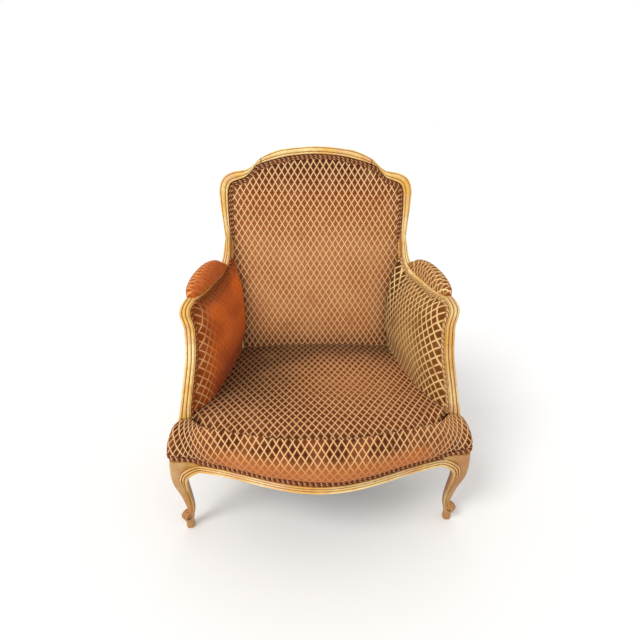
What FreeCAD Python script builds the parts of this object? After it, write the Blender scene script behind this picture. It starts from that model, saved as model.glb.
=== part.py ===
import FreeCAD, Part
import math
import os
from FreeCAD import Vector as V

# Louis XV style bergere: carved beech frame, stuffed back, arms and seat.
# Millimetres. +Z up, +Y towards the back, +X towards the right of the photograph.
# The origin is on the floor under the middle of the chair's outline.

outline_middle_y = -6.0       # middle of the outline, from the line between the feet's own frame

# Back frame. The front faces of its members lie in one raked plane.
back_rake_deg = 9.2
back_plane_y = 166.0          # y of that plane at the height of the seat frame's top
seat_frame_top = 330.0
crest_height = 949.0          # height of the crest's outer edge at the middle
shoulder_height = 806.0       # where the crest rail is jointed to the stiles
back_thickness = 36.0         # stiles and crest, square to the plane
post_half_width = 264.0       # outer edge of the stiles at the arms, from the middle
ear_half_width = 276.0        # widest place of the back
crest_moulding = 21.0
stile_moulding = 16.0
post_inner_width = 40.0       # width of a rear post below the arms

# Seat frame.
rail_thickness = 34.0
rail_lip_height = 20.0        # moulded lip left bare under the fabric
rail_lip_depth = 7.0
apron_bottom = 219.0
apron_corner_y = -192.0
apron_bow = 86.0              # how far the serpentine front stands ahead of its ends
apron_half_span = 360.0       # half a wave of the serpentine
seat_side_front_x = 350.0
seat_side_bulge = 8.0

# Front legs.
front_foot_x = 356.0
front_foot_y = -168.0
foot_block_height = 24.0
foot_block_width = 23.0
scroll_radius = 15.0
scroll_width = 22.0
front_post_width = 56.0
knee_top = 254.0              # flat top of the knee, under the seat's welt
knee_out = 18.0               # the knee's neck reaches this far outside the leg's centre
knee_front = 29.0             # and this far in front of it
neck_height = 14.0
corner_radius = 14.0

# Rear legs.
rear_foot_y = 268.0
rear_foot_width = 30.0
rear_leg_spread = 6.0

# Arms.
arm_top = 620.0
arm_rail_depth = 30.0
arm_support_width = 26.0
arm_support_depth = 34.0
arm_joint_y = -67.0           # where the arm rail meets the upright support
manchette_height = 32.0
manchette_overhang = 3.0

# Upholstery.
soft_gap = 0.3                # soft pieces stay this far from their neighbours
welt_width = 13.0
welt_height = 6.0
deck_crown = 364.0
deck_edge = 354.0
deck_bottom = 334.0
deck_front_y = -212.0
deck_rear_y = 170.0
well_front_half = 300.0       # half width of the seat between the arm pads
well_front_y = -160.0
well_rear_half = 229.0
roll_nose = 34.0              # how far the front roll swells past the apron
back_crown = 19.0
cloth = 3.0                   # outside covers, with their backing
back_pad_bottom = 340.0
back_pad_margin = 4.0         # the pad's flat margin lies this far behind the wood's face
back_pad_plate = 12.0
arm_pad_foot = 22.0           # thickness of an arm pad where it meets the seat
arm_belly = 16.0              # how far an arm pad bellies out over the seat
manchette_ledge = 10.0        # bare wood left beside the arm pad
outside_back_bottom = 340.0
outside_back_margin = 24.0

# Inside pieces.
web_width = 50.0
web_thickness = 2.0
web_lap = 14.0                # how far a strap lies on a rail
web_span_across = 455.0
web_span_deep = 330.0
web_middle_y = 2.0
canvas_thickness = 1.5
canvas_front_half = 290.0
canvas_front_y = -190.0
canvas_rear_half = 212.0
dust_thickness = 1.0
tack_pitch = 45.0
tack_radius = 3.5
back_web_heights = (470.0, 600.0, 730.0, 850.0)
back_rail_low = 372.0
back_rail_height = 40.0
back_rail_depth = 18.0
arm_web_places = (-30.0, 45.0, 120.0)
spring_pitch_x = 100.0
spring_pitch_y = 95.0
web_count_across = 7
web_count_deep = 6
spring_wire = 3.6
spring_radius = 34.0
spring_turns = 4.5
spring_sections = 16          # cross-sections in a turn
spring_columns = 4
spring_rows = 3
block_reach = 62.0
block_height = 42.0
screw_radius = 2.5
screw_head_radius = 4.5
screw_length = 34.0
dowel_radius = 5.0
dowel_length = 50.0

ORIGIN = V(0, 0, 0)
UP = V(0, 0, 1)
RIGHT = V(1, 0, 0)
rake = math.radians(back_rake_deg)
plane_tan = math.tan(rake)
FRONT = V(0, -math.cos(rake), math.sin(rake))
os.makedirs("parts", exist_ok=True)


def back_y(z):
    return back_plane_y + (z - seat_frame_top) * plane_tan


def on_back(x, z, proud=0.0):
    """A point of the raked back plane, moved forwards by proud."""
    return V(x, back_y(z), z) + FRONT * proud


def export(name, *shapes):
    """Write one node. Several solids of one node stay separate."""
    pieces = []
    for shape in shapes:
        pieces.extend(shape.Solids)
    node = pieces[0] if len(pieces) == 1 else Part.makeCompound(pieces)
    node.translate(V(0, -outline_middle_y, 0))
    node.exportStep("parts/" + name + ".step")
    box = node.BoundBox
    print("%-28s solids %3d volume %10.0f valid %s box %s" % (
        name, len(pieces), node.Volume, node.isValid(),
        [round(v) for v in (box.XMin, box.XMax, box.YMin, box.YMax, box.ZMin, box.ZMax)]))


def largest(shape):
    return max(shape.Solids, key=lambda solid: solid.Volume)


def mirrored(shape):
    return shape.mirror(ORIGIN, RIGHT)


def export_pair(name, left_shape):
    export(name + "_left", left_shape)
    export(name + "_right", mirrored(left_shape))


def curve(points):
    """A smooth curve whose parameter counts its points."""
    spline = Part.BSplineCurve()
    spline.interpolate(Points=points, Parameters=[float(i) for i in range(len(points))])
    return spline


def wire(start, segments, place):
    """A closed wire of lines and arcs. Each segment is (end) or (middle, end), in 2-D."""
    edges = []
    here = place(*start)
    for segment in segments + [(start,)]:
        there = place(*segment[-1])
        if len(segment) == 2:
            edges.append(Part.Arc(here, place(*segment[0]), there).toShape())
        elif here.distanceToPoint(there) > 1e-6:
            edges.append(Part.LineSegment(here, there).toShape())
        here = there
    return Part.Wire(edges)


def loft(wires, ruled=False):
    return Part.makeLoft(wires, True, ruled)


def moulded_wire(outer, inner, out, depth, relief=1.0):
    """The moulded section of a frame member between its two front edges."""
    across = inner - outer
    width = across.Length
    across.normalize()
    square = out - across * out.dot(across)
    square.normalize()

    def place(a, b):
        return outer + across * (a * width) + square * (b * width)

    back = -depth / width
    return wire((0, back), [
        ((0, -0.20),),
        ((0.05, -0.06), (0.18, 0)),
        ((0.24, -0.05 * relief), (0.30, 0)),
        ((0.48, 0.09 * relief), (0.66, 0)),
        ((0.72, -0.05 * relief), (0.78, 0)),
        ((0.90, -0.02), (1.0, -0.12)),
        ((1.0, back),),
    ], place)


def even_parameters(outer, inner, steps):
    """Parameters that are evenly spaced along the middle of two paired curves."""
    fine = 400
    last = outer.LastParameter
    middle = [(outer.value(last * i / fine) + inner.value(last * i / fine)) * 0.5 for i in range(fine + 1)]
    along = [0.0]
    for here, there in zip(middle, middle[1:]):
        along.append(along[-1] + here.distanceToPoint(there))
    found = []
    j = 0
    for i in range(steps + 1):
        goal = along[-1] * i / steps
        while j < fine - 1 and along[j + 1] < goal:
            j += 1
        found.append(last * (j + (goal - along[j]) / (along[j + 1] - along[j])) / fine)
    return found


def moulded_member(outer_points, inner_points, out_at, depth, steps, relief_at=lambda t: 1.0):
    """Loft the moulded section between two curves that share their parameter."""
    outer = curve(outer_points)
    inner = curve(inner_points)
    wires = []
    for t in even_parameters(outer, inner, steps):
        wires.append(moulded_wire(outer.value(t), inner.value(t), out_at(outer, inner, t), depth, relief_at(t)))
    return loft(wires)


def block(x0, x1, y0, y1, z0, z1):
    return Part.makeBox(x1 - x0, y1 - y0, z1 - z0, V(x0, y0, z0))


# Outline of the back, right half, as (x, z) pairs of the outer and the inner edge.
def back_outline():
    ear = ear_half_width
    top = crest_height
    drop = shoulder_height
    outer = [
        (ear - 1, drop), (ear, drop + 19), (ear - 2, drop + 37), (ear - 9, drop + 54),
        (ear - 21, drop + 66), (ear - 38, drop + 74), (ear - 57, drop + 77.5), (ear - 75, drop + 80),
        (ear - 91, drop + 88), (ear - 106, drop + 100.5), (ear - 123, drop + 113.5),
        (112, top - 12), (76, top - 5.5), (38, top - 1.5), (0, top)]
    m = crest_moulding
    inner = [
        (ear - 25, drop), (ear - 25, drop + 14), (ear - 26.5, drop + 26), (ear - 30, drop + 37),
        (ear - 37, drop + 45), (ear - 48, drop + 50), (ear - 60, drop + 54), (ear - 74, drop + 59.5),
        (ear - 84, drop + 68), (ear - 97, drop + 81), (ear - 113, drop + 94),
        (107, top - 12 - m), (74, top - 5.5 - m), (37, top - 1.5 - m), (0, top - m)]
    return outer, inner


def full_outline(half):
    """Both halves of a right-hand outline, from the left shoulder to the right one."""
    left = [(-x, z) for x, z in half]
    right = [(x, z) for x, z in reversed(half[:-1])]
    return left + right


def stile_edges():
    """Outer and inner edges of the bare stile, from the arm up to the shoulder."""
    low = seat_frame_top
    drop = shoulder_height
    post = post_half_width
    ear = ear_half_width
    heights = [low, 480.0, 600.0, 650.0, 690.0, 730.0, 770.0, drop]
    outer = [post - 4, post - 2, post - 1, post, post + 1.5, post + 4.5, post + 8.5, ear - 1]
    width = [post_inner_width, post_inner_width - 8, 24.0, stile_moulding + 1, stile_moulding,
             stile_moulding + 2, stile_moulding + 5, 24.0]
    return heights, outer, width


def crest_rail():
    outer, inner = back_outline()
    outer_points = [on_back(x, z) for x, z in full_outline(outer)]
    inner_points = [on_back(x, z) for x, z in full_outline(inner)]
    return moulded_member(outer_points, inner_points, lambda o, i, t: FRONT, back_thickness, 30)


def rear_post():
    """One piece of wood: the rear leg, the seat-level post and the moulded stile."""
    heights, outer, width = stile_edges()
    outer_points = [on_back(-x, z) for x, z in zip(outer, heights)]
    inner_points = [on_back(-x + w, z) for x, w, z in zip(outer, width, heights)]
    stile = moulded_member(outer_points, inner_points, lambda o, i, t: FRONT, back_thickness, 14)
    leg = rear_leg(outer[0])
    return stile.fuse(leg).removeSplitter()


def rear_leg(top_outer):
    wires = []
    top = seat_frame_top
    front = back_y(top)
    depth = back_thickness
    foot = rear_foot_width
    levels = [(top + 20, 0.0, post_inner_width, depth), (top, 0.0, post_inner_width, depth),
              (apron_bottom, 0.05, post_inner_width, depth + 2), (150.0, 0.33, 36.0, 36.0),
              (70.0, 0.75, foot + 1, foot + 1), (0.0, 1.0, foot, foot)]
    top_y = front + depth / 2
    for z, share, wide, deep in levels:
        x = -(top_outer - post_inner_width / 2) - rear_leg_spread * share
        y = top_y + (rear_foot_y - top_y) * share + max(0.0, z - top) * plane_tan
        corner = 5.0

        def place(a, b):
            return V(x + a, y + b, z)

        wires.append(rounded_rectangle(wide / 2, deep / 2, corner, place))
    return loft(wires[:2], True).fuse(loft(wires[1:]))


def rounded_rectangle(a, b, r, place):
    """Half sizes a and b, corner radius r."""
    s = r * (1 - math.sqrt(0.5))
    return wire((-a + r, -b), [
        ((a - r, -b),),
        ((a - s, -b + s), (a, -b + r)),
        ((a, b - r),),
        ((a - s, b - s), (a - r, b)),
        ((-a + r, b),),
        ((-a + s, b - s), (-a, b - r)),
        ((-a, -b + r),),
        ((-a + s, -b + s), (-a + r, -b)),
    ], place)


def apron_y(x):
    """Outer face of the serpentine front rail."""
    wave = 0.5 + 0.5 * math.cos(math.pi * min(1.0, abs(x) / apron_half_span))
    return apron_corner_y - apron_bow * wave


def seat_side_x(y):
    """Outer face of the side rails, right-hand side."""
    rear_y = back_y(seat_frame_top)
    front_y = front_foot_y
    t = (y - front_y) / (rear_y - front_y)
    straight = seat_side_front_x + (post_half_width - 4 - seat_side_front_x) * t
    return straight + seat_side_bulge * math.sin(math.pi * max(0.0, min(1.0, t)))


def rail_wire(place, top):
    """Section of a seat rail: a moulded lip below, a flat for the fabric above."""
    lip = rail_lip_height
    d = rail_lip_depth
    return wire((rail_thickness, apron_bottom), [
        ((0, apron_bottom),),
        ((-0.9 * d, apron_bottom + 0.12 * lip), (-d, apron_bottom + 0.36 * lip)),
        ((-0.7 * d, apron_bottom + 0.44 * lip), (-0.8 * d, apron_bottom + 0.54 * lip)),
        ((-0.85 * d, apron_bottom + 0.78 * lip), (-0.3 * d, apron_bottom + lip)),
        ((0, apron_bottom + lip),),
        ((0, top),),
        ((rail_thickness, top),),
    ], place)


front_rail_half = front_foot_x - front_post_width + 2


def front_rail():
    wires = []
    steps = 16
    for i in range(steps + 1):
        x = -front_rail_half + 2 * front_rail_half * i / steps
        face = apron_y(x)
        wires.append(rail_wire(lambda a, z: V(x, face + a, z), seat_frame_top - 8))
    return loft(wires)


side_rail_front_y = front_foot_y + front_post_width / 2
side_rail_rear_y = back_plane_y - 1.0


def side_rail():
    wires = []
    steps = 8
    for i in range(steps + 1):
        y = side_rail_front_y + (side_rail_rear_y - side_rail_front_y) * i / steps
        face = -seat_side_x(y)
        wires.append(rail_wire(lambda a, z: V(face + a, y, z), seat_frame_top))
    return loft(wires)


def rear_rail():
    half = post_half_width - 4 - post_inner_width
    front = back_plane_y
    return block(-half, half, front, front + rail_thickness, apron_bottom, seat_frame_top)


# Front leg: height, outward and forward offset of its middle, and half width.
leg_levels = [
    (8.0, -4.0, -5.0, 9.5), (24.0, -4.0, -5.0, 9.5), (44.0, -7.0, -5.0, 10.0), (64.0, -10.2, -5.0, 9.5),
    (86.0, -8.1, -5.0, 11.0), (108.0, -5.8, -2.0, 12.0), (128.0, -3.4, 2.0, 13.2), (150.0, -0.5, 7.0, 15.0),
    (176.0, 1.5, 12.0, 17.5), (204.0, -0.5, 14.0, 21.0), (232.0, -5.4, 14.0, 25.0), (knee_top, -9.0, 12.0, 27.0)]
support_base_y = -149.0       # front of the arm support's foot


def front_leg():
    """Cabriole leg with a scroll foot on a small block, and the square post above."""
    k = math.sqrt(0.5)
    side = V(k, -k, 0)
    wires = []
    for z, outward, forward, half in leg_levels:
        x = -front_foot_x - outward
        y = front_foot_y - forward

        def place(a, b):
            return V(x + a, y + b, z)

        wires.append(rounded_rectangle(half, half, half * 0.35, place))
    leg = loft(wires)
    z, outward, forward, half = leg_levels[0]
    base = V(-front_foot_x - outward, front_foot_y - forward, 0)
    foot = Part.makeCylinder(foot_block_width / 2, foot_block_height, base)
    scroll_centre = V(-front_foot_x - 1, front_foot_y, foot_block_height + scroll_radius)
    scroll = Part.makeCylinder(scroll_radius, scroll_width, scroll_centre - side * (scroll_width / 2), side)
    inner = -front_foot_x + front_post_width - 2
    front = front_foot_y - front_post_width / 2 + 4
    rear = front_foot_y + front_post_width / 2 - 0.5
    outer = -front_foot_x + 6 + soft_gap
    post = block(outer, inner, front, rear, apron_bottom + 3, seat_frame_top - 8)
    cheek = block(outer, inner, support_base_y, rear, seat_frame_top - 10, seat_frame_top)
    return leg.fuse([foot, scroll, post, cheek, knee_neck(inner, rear), knee_bracket(inner)]).removeSplitter()


def knee_neck(inner, rear):
    """The top of the knee, drawn in behind the welt."""
    outer = -front_foot_x - knee_out
    front = front_foot_y - knee_front
    r = corner_radius
    s = r * (1 - math.sqrt(0.5))
    low = wire((inner, front), [
        ((inner, rear),),
        ((outer, rear),),
        ((outer, front + r),),
        ((outer + s, front + s), (outer + r, front)),
    ], lambda a, b: V(a, b, knee_top - 6))
    return Part.Face(low).extrude(UP * (6 + neck_height))


def knee_bracket(inner):
    """The wood that carries the apron's moulding round into the knee."""
    wires = []
    for x, low, high, front, rear in ((inner, apron_bottom, apron_bottom + rail_lip_height + 2, -204, -165),
                                      (inner - 14, apron_bottom - 5, apron_bottom + 28, -205, -162),
                                      (inner - 28, apron_bottom - 18, knee_top - 2, -206, -160),
                                      (inner - 40, apron_bottom - 36, knee_top - 2, -205, -160)):

        def place(a, b):
            return V(x, (front + rear) / 2 + a, (low + high) / 2 + b)

        wires.append(rounded_rectangle((rear - front) / 2, (high - low) / 2, 5.0, place))
    return loft(wires, True)


# Arms, right-hand side, as (x, y, z) of the outer edge and of the inner edge.
def support_edges():
    """From the seat frame up to the joint under the arm's knuckle."""
    width = arm_support_width
    outer = [(349, -150, seat_frame_top), (346, -150, 365), (341, -141, 400), (336, -130, 435), (331, -119, 470),
             (328, -110, 505), (327, -103, 540), (329, -96, 572), (333, -87, 594), (333, -77, 608),
             (329, arm_joint_y, arm_top - 3)]
    inner = [(x - width, y - 1, z) for x, y, z in outer]
    return outer, inner


def arm_edges():
    """From that joint back along the arm and up to the stile."""
    z = arm_top
    outer = [(329, arm_joint_y, z - 3), (327, -47, z), (328, -10, z), (326.5, 25, z), (321, 60, z), (313, 95, z),
             (303, 125, z), (292, 152, z + 2), (281, 172, z + 10), (273, 186, z + 26), (267, 194, z + 50)]
    inner = [(329 - arm_support_width, arm_joint_y - 1, z - 3), (300, -50, z), (289, -14, z), (282, 22, z),
             (277, 58, z), (272, 90, z), (268, 118, z), (264, 143, z + 2), (259, 162, z + 9), (253, 176, z + 22),
             (250, 187, z + 46)]
    return outer, inner


def left_points(points):
    return [V(-x, y, z) for x, y, z in points]


def arm_face(outer, inner, t):
    """The moulded face looks up on the rail and forwards on the support."""
    face = (inner.value(t) - outer.value(t)).cross(outer.tangent(t)[0])
    face.normalize()
    return face


def arm_support():
    outer, inner = support_edges()
    return moulded_member(left_points(outer), left_points(inner), arm_face, arm_support_depth, 16)


def arm_rail():
    outer, inner = arm_edges()
    last = len(outer) - 1

    def relief(t):
        return 1.0 if t > last - 2.2 or t < 0.9 else 0.05

    return moulded_member(left_points(outer), left_points(inner), arm_face, arm_rail_depth, 16, relief)


def arm_front_y(z):
    """Front edge of the support, right-hand side, at one height."""
    outer, inner = support_edges()
    for (xa, ya, za), (xb, yb, zb) in zip(outer, outer[1:]):
        if z <= zb:
            return ya + (yb - ya) * max(0.0, z - za) / (zb - za)
    return outer[-1][1]


def along(points, y):
    """The x of a path at one y."""
    for (xa, ya, za), (xb, yb, zb) in zip(points, points[1:]):
        if ya <= y <= yb:
            return xa + (xb - xa) * (y - ya) / (yb - ya)
    return points[0][0] if y < points[0][1] else points[-1][0]


def arm_outer_x(y):
    return along(arm_edges()[0], y)


def arm_inner_x(y):
    return along(arm_edges()[1], y)


def support_inner_x(z):
    outer, inner = support_edges()
    for (xa, ya, za), (xb, yb, zb) in zip(inner, inner[1:]):
        if z <= zb:
            return xa + (xb - xa) * max(0.0, z - za) / (zb - za)
    return inner[-1][0]


def well_half(y):
    """Half width of the seat between the arm pads."""
    t = (y - well_front_y) / (deck_rear_y - well_front_y)
    return well_front_half + (well_rear_half - well_front_half) * max(0.0, t)


def side_prism(front_gap, rear_plane, low, high):
    """The space between an arm support, the back, and two heights, seen from the side."""
    heights = [low] + [z for z in (365, 400, 435, 470, 505, 540, 572) if low < z < high] + [high]
    front = [V(-500, arm_front_y(z) + front_gap, z) for z in heights]
    rear = [V(-500, back_y(z) + rear_plane, z) for z in (high, low)]
    return Part.Face(Part.makePolygon(front + rear + front[:1])).extrude(V(500, 0, 0))


def pad_outer_x(y, high):
    """Outer side of an arm pad at its top or at its foot, right-hand side."""
    if high:
        return min(arm_inner_x(y), support_inner_x(arm_top)) - soft_gap
    return min(well_half(y) + arm_pad_foot, support_inner_x(seat_frame_top) - soft_gap)


def inside_arm_pad(back_pad, support, rail, post):
    """Stuffed inside of an arm: a crowned panel that bellies out over the seat."""
    top = arm_top - welt_width - 4
    low = seat_frame_top + canvas_thickness + soft_gap
    wires = []
    stations = [-150, -120, -90, -60, -25, 15, 55, 95, 130, 160, 190]
    for y in stations:
        outer_top = pad_outer_x(y, True)
        outer_low = pad_outer_x(y, False)
        foot = well_half(y) + soft_gap
        t = (y + 150) / 340.0
        belly = foot - 4 - arm_belly * math.sin(math.pi * min(1.0, 0.12 + 0.7 * t))

        def place(x, z):
            return V(-x, y, z)

        shoulder = outer_top - 12
        wires.append(wire((outer_low, low), [
            ((outer_top, top),),
            ((shoulder, top),),
            ((belly + 0.30 * (shoulder - belly), 540), (belly, 450)),
            ((belly + 0.35 * (foot - belly), 385), (foot, 348)),
            ((foot, low),),
        ], place))
    pad = loft(wires, True)
    pad = pad.common(side_prism(welt_width + 2, -soft_gap, low, top))
    pad = cleared(pad, back_pad, [FRONT])
    pad = cleared(pad, support, [RIGHT, RIGHT * 4])
    pad = cleared(pad, rail, [RIGHT, UP * -1])
    pad = cleared(pad, post, [RIGHT, FRONT])
    pad = pad.cut(inside_welt(grow=0.8))
    return largest(pad)


def inner_outline_points(inset):
    """Inner edge of the back frame from low on the left, over the top, to low on the right."""
    heights, outer, width = stile_edges()
    half = []
    for x, w, z in zip(outer, width, heights):
        if 560 < z < shoulder_height or z == heights[0]:
            half.append((x - w, max(z, back_pad_bottom)))
    half += back_outline()[1]
    half_width = ear_half_width - 25.0
    height = (crest_height - crest_moulding - back_pad_bottom) / 2
    middle = back_pad_bottom + height
    shrink_x = (half_width - inset) / half_width
    shrink_z = (height - inset) / height
    return [(x * shrink_x, middle + (z - middle) * shrink_z) for x, z in half]


def closed_outline(points, proud):
    """Curve over the top and a straight bottom edge, on the raked plane."""
    over = [on_back(x, z, proud) for x, z in full_outline(points)]
    top = curve(over).toShape()
    foot = Part.LineSegment(over[-1], over[0]).toShape()
    return Part.Wire([top, foot])


def back_pad():
    """Inside back: a flat margin under the welt and a crowned, drawn-in stuffing."""
    margin = closed_outline(inner_outline_points(soft_gap), -back_pad_margin)
    plate = Part.Face(margin).extrude(FRONT * -back_pad_plate)
    levels = [(welt_width + 1, -back_pad_margin - 1), (welt_width + 4, 3.0), (welt_width + 20, 0.62 * back_crown),
              (welt_width + 55, 0.92 * back_crown), (welt_width + 110, back_crown)]
    crown = loft([closed_outline(inner_outline_points(inset), proud) for inset, proud in levels])
    return plate.fuse(crown).removeSplitter()


def moved_copy(shape, by):
    copy = shape.copy()
    copy.translate(by)
    return copy


def cleared(soft, hard, directions):
    """The soft solid with a small gap round a neighbour, in the named directions."""
    for direction in directions:
        soft = soft.cut(moved_copy(hard, direction * soft_gap))
    return soft


def seat_deck(back_pad):
    wires = []
    for y in (deck_front_y + soft_gap, well_front_y, deck_rear_y):
        half = min(well_half(y), well_front_half) - soft_gap

        def place(x, z):
            return V(x, y, z)

        wires.append(wire((-half, deck_bottom), [
            ((half, deck_bottom),),
            ((half, deck_edge),),
            ((0, deck_crown), (-half, deck_edge)),
        ], place))
    return cleared(loft(wires, True), back_pad, [FRONT])


def roll_section(x):
    """Front roll over the rail: nose, top and drawn-in foot at one x."""
    a = abs(x)
    face = apron_y(x)
    side = max(0.0, (a - 240.0) / (front_foot_x - 6 - 240.0))
    foot_z = apron_bottom + rail_lip_height + welt_width + 1.5 + 16.0 * side
    top_z = deck_crown + 3 - 24.0 * side ** 1.5
    nose = face - roll_nose + 12.0 * side
    crest = face + 4 - 4.0 * side
    back = deck_front_y + (arm_front_y(seat_frame_top) - 4.0 - deck_front_y) * min(1.0, max(0.0, (a - 300.0) / 20.0))
    ledge = seat_frame_top - 8 + soft_gap
    inner = face - 2 * soft_gap

    def place(y, z):
        return V(x, y, z)

    return wire((inner, foot_z), [
        ((inner, ledge),),
        ((back, ledge),),
        ((back, min(top_z - 6, deck_crown - 8 - 12 * side)),),
        ((0.5 * (back + crest), top_z - 1), (crest, top_z)),
        ((nose + 5, top_z - 14), (nose, foot_z + 0.5 * (top_z - foot_z))),
        ((nose + 8, foot_z + 16), (face - 12, foot_z)),
    ], place)


def roll_end():
    """The rounded end of the roll outside the corner post, left-hand side."""
    post_side = front_foot_x - 6
    wires = []
    for x, front, rear, low, high in (
            (post_side, -213, -152, 270, 338), (post_side + 10, -211, -150, 269, 331),
            (post_side + 19, -206, -152, 269, 318), (post_side + 25, -198, -158, 270, 300),
            (post_side + 28, -190, -166, 274, 288)):

        def place(a, b):
            return V(-x, (front + rear) / 2 + a, (low + high) / 2 + b)

        wires.append(rounded_rectangle((rear - front) / 2, (high - low) / 2, 0.3 * (high - low), place))
    return loft(wires, True)


def front_roll():
    limit = front_foot_x - 6
    half = [0, 20, 40, 60, 80, 100, 120, 140, 160, 180, 200, 220, 240, 260, 280, 300, 310, 320, 335, limit]
    stations = [-x for x in reversed(half[1:])] + half
    roll = loft([roll_section(x) for x in stations], True)
    end = roll_end()
    return roll.fuse([end, mirrored(end)]).removeSplitter()


def manchette():
    """Stuffed pad on the arm rail: a crowned strip that tapers at both ends."""
    outer_points, inner_points = arm_edges()
    outer = curve(left_points(outer_points))
    inner = curve(left_points(inner_points))
    wires = []
    steps = 12
    first = 1.05
    last = 7.7
    for i in range(steps + 1):
        share = i / steps
        t = first + (last - first) * share
        start = outer.value(t)
        across = inner.value(t) - start
        width = across.Length - manchette_ledge * min(1.0, 0.35 + 1.6 * share)
        across.normalize()
        up = arm_face(outer, inner, t)
        swell = math.sin(math.pi * (0.06 + 0.88 * share)) ** 0.45
        high = manchette_height * swell

        def place(a, b):
            return start + across * a + up * b

        low = soft_gap
        wires.append(wire((-manchette_overhang * swell, low), [
            ((-manchette_overhang * swell, low + 0.3 * high),),
            ((0.12 * width, low + 0.86 * high), (0.45 * width, low + high)),
            ((0.84 * width, low + 0.84 * high), (width, low + 0.25 * high)),
            ((width, low),),
        ], place))
    return loft(wires)


def welt_wire(centre, out, tangent, grow=0.0):
    """Section of a double welt: two cords side by side on a flat back."""
    across = tangent.cross(out)
    across.normalize()
    w = welt_width / 2 + grow / 2
    h = welt_height + grow / 2

    def place(a, b):
        return centre + across * a + out * b

    return wire((-w, 0), [
        ((-w, 0.6 * h),),
        ((-w / 2, h), (0, 0.6 * h)),
        ((w / 2, h), (w, 0.6 * h)),
        ((w, 0),),
    ], place)


def welt(points, out_at, steps):
    path = curve(points)
    wires = []
    for t in even_parameters(path, path, steps):
        tangent = path.tangent(t)[0]
        out = out_at(path, t)
        out = out - tangent * out.dot(tangent)
        out.normalize()
        wires.append(welt_wire(path.value(t), out, tangent))
    return loft(wires, True)


def back_welt():
    points = [(x, z) for x, z in inner_outline_points(welt_width / 2 + 0.6) if z > arm_top + 40]
    path = [on_back(x, z, -back_pad_margin + soft_gap) for x, z in full_outline(points)]
    return welt(path, lambda p, t: FRONT, 36)


def arm_loop():
    """Edges of the support and the arm rail as one run, from the seat to the back."""
    support_outer, support_inner = support_edges()
    rail_outer, rail_inner = arm_edges()
    return support_outer + rail_outer[1:], support_inner + rail_inner[1:]


def arm_welt(side, first, last, steps, grow=0.0):
    """A welt along the arm, left-hand side: side is 1 inside and -1 outside."""
    outer_points, inner_points = arm_loop()
    outer = curve(left_points(outer_points))
    inner = curve(left_points(inner_points))
    drop = welt_width / 2 + 3.5
    wires = []
    for i in range(steps + 1):
        t = first + (last - first) * i / steps
        across = inner.value(t) - outer.value(t)
        across.normalize()
        face = arm_face(outer, inner, t)
        near = inner if side > 0 else outer
        centre = near.value(t) + across * (side * soft_gap) - face * drop
        tangent = near.tangent(t)[0]
        out = across * side
        out = out - tangent * out.dot(tangent)
        out.normalize()
        wires.append(welt_wire(centre, out, tangent, grow))
    return loft(wires, True)


def inside_welt(grow=0.0):
    return arm_welt(1, 1.0, arm_rail_end - 2.5, 36, grow)


def seat_welt():
    """Welt above the bare lip of the front rail, round the corners to the arm supports."""
    lift = apron_bottom + rail_lip_height + welt_width / 2 + 0.5
    half = [(x, apron_y(x) - soft_gap, lift) for x in (0, 60, 120, 180, 230, 270)]
    side = front_foot_x + knee_out + soft_gap
    front = front_foot_y - knee_front - soft_gap
    r = corner_radius
    half += [(302, apron_y(302) - 1, lift + 5), (325, front - 0.4, lift + 10), (side - r - 6, front, lift + 14),
             (side - 0.3 * r, front + 0.3 * r, lift + 16), (side, front + r + 6, lift + 16),
             (side, front_foot_y + 20, lift + 16)]
    path = [V(-x, y, z) for x, y, z in reversed(half[1:])] + [V(x, y, z) for x, y, z in half]

    def outwards(p, t):
        return p.tangent(t)[0].cross(UP)

    return welt(path, outwards, 40)


def outside_back_points(inset):
    heights, outer, width = stile_edges()
    half = [(x, max(z, outside_back_bottom)) for x, z in zip(outer, heights) if z < shoulder_height]
    half += back_outline()[0]
    height = (crest_height - outside_back_bottom) / 2
    middle = outside_back_bottom + height
    shrink_x = (ear_half_width - inset) / ear_half_width
    shrink_z = (height - inset) / height
    return [(x * shrink_x, middle + (z - middle) * shrink_z) for x, z in half]


def outside_back_cover():
    rear = -back_thickness - soft_gap
    outline = closed_outline(outside_back_points(outside_back_margin), rear)
    return Part.Face(outline).extrude(FRONT * -cloth)


def outside_back_welt():
    points = outside_back_points(outside_back_margin - welt_width / 2 - 1)
    rear = -back_thickness - soft_gap
    path = [on_back(x, z, rear) for x, z in full_outline(points)]
    return welt(path, lambda p, t: FRONT * -1, 44)


def outside_arm_cover():
    """Thin stretched cover from the arm rail down to the side rail's lip."""
    top = arm_top - arm_rail_depth - soft_gap
    low = apron_bottom + rail_lip_height + soft_gap
    wires = []
    for y in (-125, -100, -67, -30, 10, 50, 90, 120, 143, 170):
        foot = seat_side_x(y) + soft_gap
        head = arm_outer_x(y) - 4
        if y < arm_joint_y:
            head = min(head, support_inner_x(540) + arm_support_width - 4)

        def place(x, z):
            return V(-x, y, z)

        wires.append(wire((foot, low), [
            ((foot, seat_frame_top),),
            ((head - cloth, top),),
            ((head, top),),
            ((foot + cloth, seat_frame_top),),
            ((foot + cloth, low),),
        ], place))
    return loft(wires, True).common(side_prism(arm_support_depth + 3, -soft_gap, low, top))


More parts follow.
